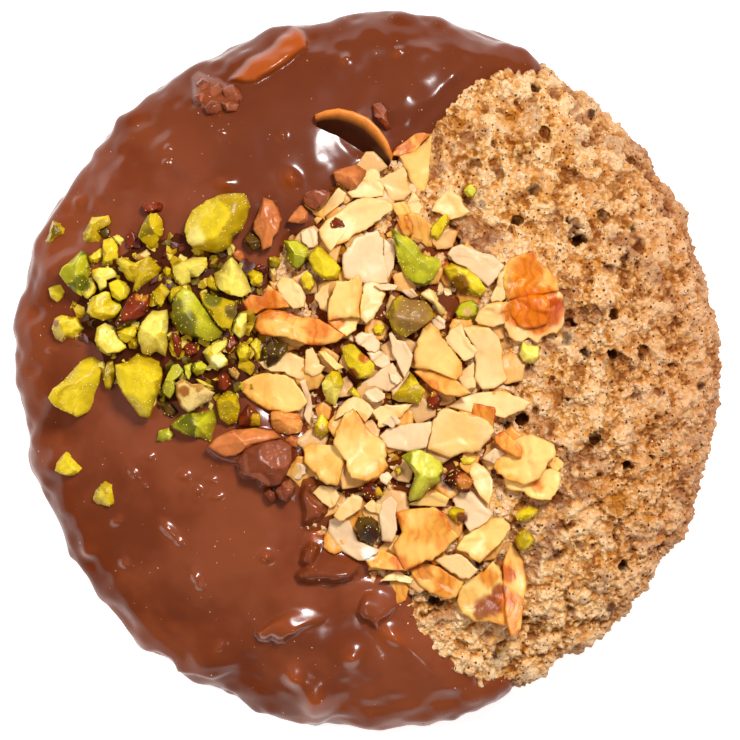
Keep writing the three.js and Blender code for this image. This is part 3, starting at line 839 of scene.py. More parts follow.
class AlmondLook(Enum):
    """The colour of an almond flake's flesh, and how far its edge and its middle are toasted."""

    WHITE = ((234, 197, 152), 0.05, 0.1)
    CREAM = ((242, 200, 136), 0.2, 0.2)
    GOLD = ((245, 200, 116), 0.35, 0.3)
    TOASTED = ((244, 186, 98), 0.7, 0.7)
    BLOSSOM = ((252, 204, 122), 0.4, 0.3)
    BURNT = ((240, 176, 80), 0.8, 0.6)


HONEY: Rgb = (238, 170, 70)
TOAST: Rgb = (204, 98, 16)


class StainAndGlint(NamedTuple):
    """A patch of another colour across a nut or a flake: place in the photograph, radius and colour; one is a
    painted glint.
    """

    px: float
    py: float
    radius: float
    colour: Rgb


STAINS_AND_GLINT = (
    StainAndGlint(512, 606, 2.4, (226, 144, 44)), StainAndGlint(510, 626, 1.4, (222, 138, 44)),
    StainAndGlint(444, 583, 2.0, (220, 136, 40)), StainAndGlint(424, 573, 1.2, (212, 130, 48)),
    StainAndGlint(488, 577, 1.5, (222, 134, 20)), StainAndGlint(468, 598, 1.8, (228, 172, 86)),
    StainAndGlint(266, 303, 2.4, (202, 104, 8)), StainAndGlint(458, 435, 3.4, (238, 190, 112)),
    StainAndGlint(412, 315, 2.9, (150, 106, 54)), StainAndGlint(459, 284, 1.7, (126, 70, 8)),
    StainAndGlint(352, 374, 1.1, (120, 40, 14)), StainAndGlint(363, 357, 0.8, (190, 96, 20)),
    StainAndGlint(448, 479, 1.5, (88, 22, 10)), StainAndGlint(463, 481, 1.3, (196, 116, 44)),
    StainAndGlint(461, 518, 0.9, (112, 32, 20)), StainAndGlint(370, 534, 1.3, (58, 24, 10)),
    StainAndGlint(380, 490, 0.7, (222, 170, 24)), StainAndGlint(256, 421, 1.1, (206, 164, 24)),
    StainAndGlint(183, 390, 1.0, (156, 84, 12)), StainAndGlint(143, 296, 0.9, (218, 134, 44)),
    StainAndGlint(56, 323, 0.6, (140, 62, 10)), StainAndGlint(66, 341, 0.8, (156, 86, 10)),
    StainAndGlint(83, 283, 1.3, (88, 88, 10)), StainAndGlint(184, 323, 2.1, (104, 96, 8)),
    StainAndGlint(176, 306, 1.4, (112, 104, 10)), StainAndGlint(214, 299, 1.5, (98, 94, 16)),
    StainAndGlint(232, 312, 1.2, (116, 92, 34)), StainAndGlint(466, 311, 0.7, (222, 172, 112)),
    StainAndGlint(321, 427, 0.6, (214, 164, 92)), StainAndGlint(217, 361, 1.1, (244, 232, 158)),
    StainAndGlint(196, 236, 1.4, (240, 216, 116)), StainAndGlint(336, 322, 1.2, (236, 146, 62)),
    StainAndGlint(318, 327, 2.0, (232, 134, 52)), StainAndGlint(367, 204, 0.22, (150, 30, 8)),
    StainAndGlint(360, 418, 1.0, (238, 164, 84)), StainAndGlint(244, 384, 0.6, (214, 130, 50)),
    StainAndGlint(489, 605, 2.1, (142, 54, 0)), StainAndGlint(499, 590, 1.4, (150, 62, 10)),
    StainAndGlint(480, 612, 1.2, (150, 80, 20)), StainAndGlint(507, 575, 1.3, (196, 92, 22)),
    # The patch at 368,552 is a painted highlight: a white glint on a flake
    StainAndGlint(507, 598, 1.3, (206, 104, 24)), StainAndGlint(368, 552, 1.1, (250, 240, 226)),
    StainAndGlint(503, 441, 1.1, (238, 158, 66)), StainAndGlint(515, 450, 1.1, (236, 150, 56)),
    StainAndGlint(536, 486, 1.0, (234, 152, 66)), StainAndGlint(526, 270, 2.4, (224, 122, 4)),
    StainAndGlint(521, 283, 2.0, (226, 130, 10)), StainAndGlint(530, 308, 3.2, (212, 100, 0)),
    StainAndGlint(548, 312, 2.4, (202, 86, 0)), StainAndGlint(513, 314, 2.0, (220, 116, 4)),
    StainAndGlint(544, 298, 2.0, (222, 122, 4)), StainAndGlint(557, 304, 1.3, (190, 76, 0)),
    StainAndGlint(536, 322, 2.0, (216, 112, 2)), StainAndGlint(430, 386, 1.3, (216, 128, 40)),
    StainAndGlint(404, 146, 1.5, (206, 118, 56)), StainAndGlint(420, 137, 1.1, (220, 136, 66)),
    StainAndGlint(440, 541, 1.2, (240, 160, 74)), StainAndGlint(398, 561, 1.4, (222, 122, 46)),
)


def stained_and_glinted(tint: Array, plan: Array) -> Array:
    """The colours of points of the plan with the stains, and the one painted glint, that lie there."""
    uneven = 0.3 * lumps(*plan.T, np.zeros(len(plan)), 0.8)
    for stain in STAINS_AND_GLINT:
        away = np.hypot(*(plan - PHOTO.place(stain.px, stain.py)).T) + uneven
        share = 0.92 * (1 - smooth(away, 0.65 * stain.radius, 1.1 * stain.radius))
        tint = tint + (np.array(linear(stain.colour)) - tint) * share[:, None]
    return tint


# Nuts and flakes, each with its outline as read off the photograph


class Nut(NamedTuple):
    """A chopped piece: its height, its look and its outline in the plan."""

    height: float
    look: NutLook
    outline: Array

    @property
    def length(self) -> float:
        """The longer side of its outline."""
        return float(np.ptp(self.outline, axis=0).max())


class Flake(NamedTuple):
    """An almond flake: its layer in the heap, its look and its outline in the plan."""

    layer: float
    look: AlmondLook
    outline: Array


class Rise(NamedTuple):
    """What the chocolate flows over: height, width of its shoulder, how thin the coat is, outline and front.

    The front is the angle, in degrees, of the side that a ledge rises towards.
    """

    height: float
    shoulder: float
    thin: float
    outline: Array
    front: float | None = None

    def slope(self, x: Array, y: Array) -> Array | float:
        """The share of its height that a ledge reaches."""
        if self.front is None:
            return 1.0
        facing = np.array([math.cos(math.radians(self.front)), math.sin(math.radians(self.front))])
        along = self.outline @ facing
        return smooth(x * facing[0] + y * facing[1], along.min(), along.min() + 0.75 * np.ptp(along))


def read_rows(table: str) -> Iterable[tuple[float, str, Array]]:
    """The number, the look and the outline in each row of a table; a row ends with a semicolon."""
    for row in table.strip(" \n;").split(";"):
        number, look, corners = row.split(maxsplit=2)
        yield float(number), look, trace(corners)


def read_nuts(table: str) -> tuple[Nut, ...]:
    """The nuts of a table with the height, the look and the outline of each."""
    return tuple(Nut(height, NutLook[look], outline) for height, look, outline in read_rows(table))


def read_flakes(table: str) -> tuple[Flake, ...]:
    """The flakes of a table with the layer, the look and the outline of each."""
    return tuple(Flake(layer, AlmondLook[look], outline) for layer, look, outline in read_rows(table))


(KERNEL,) = read_nuts("""
5.4 YELLOW 186,222 192,210 207,200 218,195 235,193 245,194 250,205 247,218 242,230 233,237 230,247 218,253
  208,252 193,247 186,242 183,232;
""")

HEAP_NUTS = read_nuts("""
3.0 OLIVE 150,213 157,212 162,220 164,233 153,248 142,242 138,236 143,222;
3.8 GREEN 81,250 87,252 88,260 92,272 91,278 82,297 75,292 66,285 59,274 62,267 70,260;
1.9 YELLOW 87,257 101,247 103,250 102,258 97,263 89,262;
2.2 YELLOW 103,239 112,237 118,245 118,257 112,266 101,267 103,258 102,248;
3.2 YELLOW 117,260 122,256 126,259 135,262 150,255 155,261 162,268 157,278 145,284 137,292 132,292 135,283
  127,280 123,272;
2.4 PALE 92,270 100,267 112,268 117,273 115,277 107,280 107,287 100,292 97,283 92,277;
2.2 PALE 85,278 92,277 97,288 95,293 87,299 81,292;
2.6 YELLOW 109,283 118,279 127,282 131,290 127,298 120,301 112,297;
3.0 YELLOW 87,303 93,296 105,291 110,292 112,300 120,303 122,308 115,317 102,321 92,317 87,312;
2.8 RED 129,297 136,292 142,296 150,293 152,302 150,310 143,316 133,322 118,327 115,323 122,310;
3.0 PALE 97,327 105,322 116,327 117,333 123,342 127,347 120,352 107,353 98,346 95,340;
2.2 YELLOW 117,331 127,327 135,325 137,332 135,338 126,343 120,339;
3.4 PALE 138,333 142,322 152,310 168,309 169,323 167,333 168,343 166,357 157,351 148,355 142,353 138,340;
2.4 YELLOW 152,293 162,282 168,288 170,292 166,297 162,307 155,303;
2.4 PALE 172,267 180,262 193,257 207,257 208,265 203,272 198,277 190,277 191,282 182,287 175,282;
3.6 PALE 214,273 220,270 225,262 232,257 237,262 242,270 247,278 252,292 242,297 230,295 220,290 215,283;
2.2 YELLOW 247,273 253,269 262,273 263,281 260,287 252,286;
4.2 GREEN 171,305 176,295 184,287 192,291 202,303 212,317 223,332 220,338 208,342 195,337 182,333 172,322;
3.4 OLIVE 199,292 212,294 228,299 237,301 237,313 230,329 222,328 212,317 203,305;
2.0 PALE 238,313 247,312 247,322 245,335 240,338 232,331 233,322;
1.8 OLIVE 107,362 113,360 115,370 114,380 111,390 105,388 103,377 104,368;
5.0 YELLOW 115,364 128,360 138,352 150,356 162,362 163,372 161,385 156,400 152,412 150,418 140,416 132,405
  122,393 117,380;
2.4 LIME 172,365 178,363 184,370 182,375 175,380 176,390 170,398 163,393 162,387 167,375;
3.6 TAN 176,383 182,377 192,383 200,383 212,390 216,392 212,400 200,405 189,412 181,407 176,395;
3.0 OLIVE 217,397 228,389 237,393 240,407 237,422 228,425 220,418 217,407;
2.8 RED 238,417 248,403 260,413 260,425 248,426 238,425;
2.4 PALE 202,352 207,347 215,342 227,339 227,345 221,351 228,360 225,365 217,369 210,365;
2.2 YELLOW 236,350 242,342 248,343 251,352 247,362 240,362;
1.6 YELLOW 249,344 256,337 261,341 261,348 260,358 255,362 252,352;
1.7 RED 172,332 177,333 182,340 182,350 179,358 174,350;
2.0 GREEN 192,363 202,360 207,365 203,373 197,376 192,370;
1.5 PALE 112,236 117,234 124,239 122,248 117,245;
2.0 RED 217,377 223,370 230,375 230,385 225,390 218,388;
1.6 RED 253,268 260,263 267,267 268,272 263,275;
1.6 DARK 99,231 107,227 112,231 110,237 102,240;
1.8 OLIVE 268,257 275,256 281,260 278,268 270,266;
1.6 LIME 184,365 192,362 192,372 189,380 185,375;
1.7 RED 184,345 192,341 198,343 198,352 190,357 185,352;
1.6 RED 227,337 232,333 238,342 233,352 228,355 225,348;
1.7 TAN 228,368 235,367 240,373 237,380 230,375;
1.7 TAN 268,265 275,267 277,275 274,283 269,277;
1.6 TAN 133,258 137,254 147,249 151,254 145,259 138,261;
1.6 OLIVE 163,270 166,266 171,268 171,275 167,278;
1.5 OLIVE 168,297 172,288 181,285 184,288 176,295 171,304;
1.8 YELLOW 206,280 211,274 214,278 216,286 220,292 212,289 206,285;
1.4 RED 126,235 130,229 135,233 136,243 131,250 126,246;
1.4 DARK 161,404 167,400 172,403 178,411 172,418 165,414;
1.5 OLIVE 132,342 138,337 139,346 134,349;
1.8 PALE 195,378 200,379 208,383 214,386 211,390 202,386;
""")

NUTS_AMONG_ALMONDS = read_nuts("""
2.8 GREEN 283,240 297,240 309,248 308,255 303,265 297,269 290,265 285,258 287,252;
2.6 YELLOW 310,252 317,246 323,248 332,258 341,267 341,273 337,280 323,280 312,270 308,260;
2.4 YELLOW 300,277 307,271 312,275 315,285 310,292 303,288;
3.6 GREEN 389,226 399,234 406,236 416,244 422,254 438,258 441,266 434,278 425,286 414,284 404,276 398,264
  395,250;
4.0 OLIVE 386,314 392,300 400,294 410,299 424,300 432,308 434,316 424,326 414,332 402,338 392,330;
3.0 YELLOW 442,268 450,262 460,266 468,268 478,278 487,290 480,297 466,294 454,286 446,276;
2.6 GREEN 454,312 460,302 472,299 478,306 476,316 468,322 458,320;
4.2 LIME 400,456 410,449 420,449 430,454 441,460 443,470 439,482 430,486 420,498 408,501 408,492 412,482
  414,474 410,466;
3.2 YELLOW 391,395 400,386 410,371 415,377 419,384 425,390 419,404 409,402 395,400;
2.2 RED 426,398 433,390 442,398 440,404 433,410 426,407;
2.6 RED 442,480 448,472 460,467 466,474 473,480 468,492 460,492 450,484;
2.2 YELLOW 446,512 452,505 464,508 465,516 460,523 450,518;
3.2 DARK 354,524 358,516 370,515 378,520 380,532 376,540 370,542 360,538;
2.2 RED 360,490 364,482 372,481 380,488 384,494 374,498 366,498;
2.2 YELLOW 314,423 321,413 328,421 329,431 322,438 314,433;
2.8 YELLOW 340,346 349,343 354,344 360,350 367,357 374,364 374,370 370,376 364,378 356,379 351,372 346,366;
2.8 PALE 321,383 331,370 339,371 344,383 339,394 335,406 326,400 322,391;
3.2 DARK 261,347 272,336 278,340 288,343 288,350 278,362 268,367 263,360;
2.2 YELLOW 428,236 430,226 438,218 447,212 449,220 444,230 436,241;
1.9 TAN 419,294 428,288 435,292 438,302 445,308 444,316 438,314 433,304;
1.6 YELLOW 372,327 378,323 385,327 382,335 375,333;
1.6 YELLOW 347,391 352,385 357,390 361,396 359,399 350,394;
2.8 RED 329,223 335,217 342,220 345,227 337,230 331,228;
2.2 CRUST 270,412 278,406 290,408 300,414 303,424 300,432 288,434 276,432 271,425;
1.5 YELLOW 394,468 400,466 402,472 397,475;
1.6 PALE 459,458 468,456 475,458 470,464 462,465;
""")

NUTS_ON_CRUMB = read_nuts("""
1.9 LIME 462,190 470,184 476,190 473,198 466,197;
2.4 PALE 518,354 522,340 526,344 538,346 538,356 532,363 522,361;
2.2 YELLOW 514,515 519,508 528,505 537,508 536,514 529,518 524,522 516,519;
2.2 YELLOW 514,538 519,530 524,528 531,533 535,539 530,546 522,550 516,547;
""")

NUTS_ON_CHOCOLATE = read_nuts("""
3.4 OLIVE 52,219 60,222 69,225 68,234 60,240 47,249 41,245 46,233;
2.2 YELLOW 48,288 55,283 62,283 66,292 63,298 57,302 50,297;
3.0 YELLOW 54,318 62,314 71,317 77,316 81,323 85,328 81,337 75,341 68,340 62,342 55,338 51,328;
2.8 YELLOW 56,462 62,454 69,448 76,455 84,468 80,474 70,476 60,473 55,470;
2.6 YELLOW 95,490 105,480 112,484 118,496 116,502 108,506 96,503 92,498;
4.2 YELLOW 74,368 83,359 93,355 102,359 102,370 100,382 97,395 95,403 88,412 77,417 68,413 53,405 48,397
  53,388 63,380;
3.4 GREEN 170,423 183,413 198,412 212,407 217,408 218,418 215,428 211,442 200,437 185,435 173,428;
1.9 LIME 156,440 159,430 168,427 174,433 170,440 163,442;
2.6 RED 142,204 148,203 156,202 166,202 167,207 164,214 160,213 156,211 149,215 144,212;
2.4 DARK 244,237 249,231 255,234 261,242 260,248 253,251 245,243;
2.6 YELLOW 92,216 109,215 111,222 108,226 102,227 99,232 102,238 100,245 90,247 83,243 82,234 86,227;
""")

UPPER_ROSETTE = read_flakes("""
0 CREAM 505,297 520,294 532,294 547,291 559,291 563,295 562,307 564,314 562,327 557,334 549,332 541,337
  537,343 527,337 521,342 515,342 509,337 507,332 502,323;
0.4 CREAM 474,320 477,311 485,304 498,302 507,300 512,314 505,323 492,327 478,324;
0.9 CREAM 489,298 493,289 498,274 505,266 514,285 510,296 500,302 491,302;
1.0 TOASTED 502,267 509,259 517,255 530,252 536,258 542,264 549,271 556,279 559,291 547,292 532,297 520,299
  508,300 503,290 499,278;
1.5 BURNT 505,300 514,295 521,296 530,293 541,294 549,300 551,312 548,322 537,327 524,328 517,325 511,316
  504,308;
""")

LOWER_ROSETTE = read_flakes("""
0 WHITE 482,458 486,453 494,447 501,450 506,454 499,460 494,464 487,461;
0 BLOSSOM 502,477 504,484 509,489 515,490 522,491 525,495 531,498 544,499 551,500 555,494 559,486 560,479
  559,472 551,467 543,469 530,474 515,476;
0.6 GOLD 545,463 553,456 560,458 563,462 561,468 557,472 550,469;
1.1 BLOSSOM 494,465 497,458 505,453 511,440 518,436 527,434 535,435 545,439 553,444 555,451 554,456 547,461
  545,468 539,478 529,482 523,484 515,481 505,477 497,473;
1.9 TOASTED 493,435 502,429 508,434 518,444 522,451 521,458 515,457 500,448 494,442;
""")

FLAKES = read_flakes("""
0 GOLD 398,156 414,152 431,135 430,162 428,181 424,193 415,191 406,172;
0 CREAM 376,180 403,167 407,173 406,180 411,193 404,201 389,202 384,187;
0 CREAM 346,193 371,166 378,171 384,190 383,196 371,198 354,199;
0 CREAM 313,220 338,187 346,193 344,201 333,210 323,218 316,225;
1 CREAM 318,230 326,220 341,210 353,200 366,197 383,199 392,204 393,210 381,218 366,230 354,234 348,241
  334,246 330,252 320,238;
1 WHITE 341,259 346,248 356,238 368,232 378,229 383,238 383,253 387,266 388,284 373,284 356,283 344,278
  342,269;
0 WHITE 383,238 393,243 395,254 393,269 387,279 385,266 383,253;
0 CREAM 430,211 435,201 450,186 454,193 461,197 463,205 470,212 461,217 450,220 438,213;
2 TOASTED 254,327 258,314 267,309 280,310 306,317 320,319 331,326 346,335 336,342 321,345 306,344 288,337
  273,336 260,334;
1 TOASTED 242,302 250,294 262,296 268,284 275,289 283,291 288,299 290,307 276,309 263,309 255,314 247,311;
1 CREAM 276,284 281,276 291,278 301,286 306,297 304,307 293,309 280,296;
2 GOLD 327,312 329,299 336,280 348,281 354,278 358,273 362,281 362,292 359,307 360,318 349,317 336,319
  328,321;
1 CREAM 363,284 371,279 383,288 384,299 381,307 373,319 366,324 360,318 360,305;
1 GOLD 327,321 338,319 349,317 360,318 356,329 346,336 333,327;
1 WHITE 388,333 391,331 396,339 405,342 413,355 410,366 404,378 398,366 392,352;
0 WHITE 357,388 365,380 374,374 382,367 392,362 398,371 402,380 394,388 384,390 372,386;
1 GOLD 236,383 250,376 268,372 285,374 295,381 303,392 308,402 300,410 285,412 268,410 252,401 242,392;
0 CREAM 258,362 270,357 290,352 305,358 308,372 300,380 285,373 268,371;
0 WHITE 446,254 451,247 460,244 476,249 493,256 505,266 499,274 488,287 479,280 470,271 453,261;
2 GOLD 412,356 416,346 420,331 430,323 438,329 441,337 451,349 461,362 462,374 455,380 441,374 428,369
  415,367;
1 TOASTED 413,371 420,367 435,372 453,377 471,393 460,396 445,395 430,387;
1 CREAM 442,337 450,329 461,322 465,336 479,351 473,357 463,361 453,349;
0 CREAM 461,326 475,325 488,327 498,336 502,349 503,369 507,380 494,388 481,389 473,379 475,362 470,342;
0 CREAM 447,406 460,397 476,392 501,390 520,397 530,402 522,410 504,418 486,413 469,412;
1 CREAM 433,420 438,410 447,407 461,412 479,417 488,422 494,431 485,442 479,451 461,452 449,458 426,449
  429,436;
0 WHITE 378,436 386,428 404,423 431,421 432,429 426,447 408,451 386,447;
0 CREAM 371,411 379,405 397,403 413,403 404,413 390,423 379,426;
1 GOLD 332,442 335,431 345,413 353,409 361,415 367,428 379,438 387,445 385,458 388,465 379,476 367,481
  351,478 345,461;
1 GOLD 303,445 317,443 344,445 344,461 338,485 326,483 313,472 304,461;
0 CREAM 311,492 319,485 333,485 340,495 336,504 331,509 320,502;
0 WHITE 327,531 329,519 338,515 349,519 358,540 379,549 369,558 358,560 342,551;
1 CREAM 333,515 342,501 353,492 363,497 361,508 351,515 338,522;
0 WHITE 378,504 390,494 397,501 395,515 397,529 392,542 381,540 379,522;
1 TOASTED 395,511 408,508 433,506 445,513 449,526 459,535 451,542 442,552 426,560 404,570 397,558 392,545
  401,531;
0 WHITE 449,494 460,490 472,490 483,501 493,513 486,522 469,531 460,518;
1 CREAM 467,469 474,461 486,467 492,479 492,492 488,504 479,495 472,483;
1 GOLD 455,547 461,536 476,526 490,516 504,516 509,528 504,538 492,549 479,562 467,554;
1 CREAM 433,559 442,554 461,553 477,569 469,578 458,576 444,567;
0 TOASTED 408,567 422,561 438,565 451,574 463,581 456,597 444,598 429,592 417,583;
0 GOLD 456,601 458,590 465,578 483,570 492,560 501,570 503,586 506,604 504,624 492,622 476,620 461,613;
1 TOASTED 502,561 510,539 515,547 522,560 526,583 522,604 520,628 511,636 506,626 504,604 502,583;
1 TOASTED 361,554 365,545 383,549 397,556 404,569 390,569 369,567;
0 GOLD 404,504 419,499 436,490 449,497 445,506 429,506;
""")

SMALL_FLAKES = read_flakes("""
0 CREAM 412,191 418,196 422,208 418,217 410,213 406,204;
0 TOASTED 397,214 406,216 411,224 413,233 406,238 401,232 398,224;
1 WHITE 373,285 387,283 398,285 395,290 380,290;
0 WHITE 400,290 412,288 418,296 410,299;
1 WHITE 353,336 361,331 372,333 380,342 379,349 375,353 368,350 358,343;
1 WHITE 363,393 368,388 376,388 384,393 384,398 376,403 370,402;
1 WHITE 388,372 396,374 401,381 396,385 390,380;
1 GOLD 319,352 324,350 331,355 337,362 344,367 336,370 329,364 324,359;
0 CREAM 305,349 312,346 317,355 321,364 327,367 320,374 312,377 305,371;
0 WHITE 299,380 305,378 309,393 313,406 309,424 303,416 308,403 303,391;
1 CREAM 313,297 320,287 330,282 327,297 328,312 320,308;
0 CREAM 379,580 386,574 397,570 413,578 411,583 395,580;
0 CREAM 333,420 338,406 354,394 369,403 374,410 365,422 356,410 344,413;
0 CREAM 455,377 473,361 475,388 463,389;
0 TOASTED 391,156 396,147 405,141 414,134 423,132 431,134 423,141 414,152 398,156;
0 TOASTED 391,203 403,201 408,206 411,214 403,216 396,215 393,210;
0 WHITE 366,352 377,349 389,355 391,365 381,368 370,360;
0 WHITE 430,320 440,316 446,320 444,328 434,330;
0 WHITE 300,232 312,226 318,232 318,244 308,248 302,242;
1 WHITE 381,423 390,415 398,416 400,422 392,427;
1 WHITE 378,474 386,470 392,476 386,484 380,480;
0 CREAM 362,505 372,498 382,504 380,514 370,512;
0 WHITE 289,470 296,463 305,466 306,473 298,479 291,476;
""")

(ALMOND_ON_CHOCOLATE,) = read_nuts("""
3.4 CARAMEL 253,223 259,208 263,197 272,200 278,208 282,220 278,232 273,238 272,247 262,252 260,240 253,230;
""")

COATED_NUTS = read_nuts("""
3.4 COATED 372,104 380,102 387,110 388,120 392,129 386,131 380,122 374,116;
3.2 CARAMEL 332,172 338,169 350,166 356,164 366,170 366,176 358,186 351,191 345,189 335,182;
3.0 COATED 302,201 305,193 313,190 325,190 332,192 330,199 322,208 314,211 306,206;
2.6 CARAMEL 286,222 293,212 300,205 308,212 308,221 298,224;
2.4 CARAMEL 231,253 237,248 243,252 245,258 240,263 233,258;
2.6 CARAMEL 284,440 290,434 299,436 302,442 297,447 288,446;
3.0 COATED 275,490 282,481 290,478 296,486 294,494 287,501 279,498;
2.4 COATED 263,492 270,487 275,492 276,500 270,502;
""")

CRAGS = read_nuts("""
2.6 COATED 195,83 202,77 210,81 214,89 207,95 197,94;
2.2 COATED 194,95 203,92 210,98 207,108 199,107 194,101;
2.4 COATED 203,106 211,99 221,103 224,111 217,116 207,114;
2.2 COATED 209,87 220,83 228,89 225,100 215,103 208,96;
2.7 COATED 222,88 233,84 242,89 244,98 238,105 226,103;
2.3 COATED 219,102 229,99 239,104 236,111 226,113;
3.6 CARAMEL 207,446 217,436 233,429 255,427 274,430 281,437 270,441 255,445 236,455 225,457;
3.8 COATED 236,462 243,449 258,442 281,438 291,444 292,458 287,472 280,484 268,486 257,478 243,475;
""")

RISES = (
    Rise(1.3, 0.7, 0.9, trace(
        "232,84 250,68 264,60 277,51 286,42 296,37 305,40 308,46 307,53 293,63 283,70 268,80 257,87 248,88 "
        "238,86"
    )),
    Rise(1.1, 0.8, 0.3, trace(
        "196,85 203,79 212,83 222,84 230,91 238,89 242,97 238,105 228,109 218,114 207,112 197,104"
    )),
    Rise(1.2, 0.9, 0.6, trace(
        "207,446 217,436 233,429 255,427 274,430 281,437 270,438 255,441 243,446 236,452 225,456 212,452"
    )),
    Rise(1.2, 1.1, 0.1, trace(
        "207,446 217,436 233,429 255,427 274,430 281,437 291,444 293,450 291,460 287,472 281,484 271,487 "
        "261,485 257,478 245,477 239,472 239,463 231,463 219,458 209,452"
    )),
    Rise(1.7, 0.9, 0.1, trace(
        "303,480 312,478 316,485 311,493 322,503 324,512 320,518 310,522 303,522 304,510 300,495"
    )),
    Rise(2.0, 0.8, 0.15, trace(
        "310,541 318,545 317,555 316,565 312,572 306,566 299,560 303,548"
    )),
    Rise(2.0, 0.9, 0.0, trace(
        "296,572 300,578 310,581 325,580 336,582 350,578 358,568 362,562 350,556 330,550 318,548"
    ), -95),
    Rise(1.5, 0.7, 0.35, trace(
        "258,628 262,634 268,635 273,632 279,636 285,635 290,630 297,629 302,624 310,620 320,618 328,614 "
        "326,609 310,602 292,606 275,615"
    ), -110),
    Rise(1.6, 0.8, 0.1, trace(
        "356,610 362,618 368,618 377,625 380,620 392,612 398,602 394,592 380,586 365,590"
    ), -115),
)


class Lump(NamedTuple):
    """A broad lump in the chocolate: place in the photograph, radius and height."""

    px: float
    py: float
    radius: float
    height: float


COAT_LUMPS = tuple(Lump(*row) for row in numbers("""
407,107,2.8,1.0 172,165,3.0,0.5 125,195,3.0,0.6 60,262,3.2,0.7 30,330,3.0,0.8 24,400,3.0,0.7 48,455,3.0,0.7
85,545,3.2,0.8 108,590,3.0,0.9 155,625,3.4,0.9 210,655,3.4,0.9 298,618,3.6,0.9 312,680,3.4,0.8
352,655,2.8,0.8 415,655,3.2,0.7 200,575,2.6,0.6 455,80,2.0,0.6 372,32,3.2,0.6
"""))


class Pimple(NamedTuple):
    """A small rise in the chocolate: place in the photograph, length, width, rise and turn in degrees."""

    px: float
    py: float
    length: float
    width: float
    rise: float
    turn: float

    def outward(self, x: Array, y: Array) -> Array:
        """How far points of the plan lie from its middle, 1 at its outline."""
        return from_oval(PHOTO.place(self.px, self.py), (self.length / 2, self.width / 2), self.turn, x, y)


PIMPLES = tuple(Pimple(*row) for row in numbers("""
137,471,2.2,1.2,0.5,-50 147,484,1.0,0.9,0.3,0 186,474,1.8,1.4,0.5,0 199,488,1.5,1.2,0.5,-40
213,478,1.8,1.2,0.3,0 218,495,2.0,1.0,0.4,10 121,518,2.0,1.5,0.5,20 172,527,3.6,1.6,0.7,-45
182,539,1.4,1.1,0.4,-50 199,573,1.8,1.2,0.5,-60 203,582,1.2,1.0,0.4,0 267,554,2.0,1.7,0.7,0
129,559,1.6,1.2,0.5,-40 297,668,3.4,2.6,0.9,-30 317,688,4.0,3.2,0.9,-20 224,638,1.6,1.4,0.5,0
106,594,2.0,1.6,0.5,0 346,64,1.4,1.3,0.4,0 398,56,1.4,1.2,0.4,0 283,138,1.3,1.2,0.4,0 172,152,1.2,1.0,0.3,60
170,167,1.4,1.1,0.4,60 223,136,1.2,1.0,0.3,0 292,180,2.8,2.2,0.9,-50 225,185,3.4,2.0,0.5,0
98,545,2.6,1.6,0.5,-50 352,650,3.0,2.2,0.7,20 392,632,5.0,2.8,1.0,-30 84,205,2.0,1.4,0.4,50
58,350,1.8,1.2,0.4,0 152,455,1.6,1.2,0.4,0 318,532,2.4,2.0,1.0,60 184,249,1.6,1.4,0.6,0
"""))
HOLLOW = Pimple(359, 144, 8.0, 4.6, 0.35, -38)

# Folds of the coat along the rim, as lines in the photograph
FOLDS = (
    "140,620 150,632 165,637 180,645 187,655 205,658 220,663 235,661",
    "244,690 263,701 297,707 309,711 335,705",
    "62,180 48,215 40,250",
)


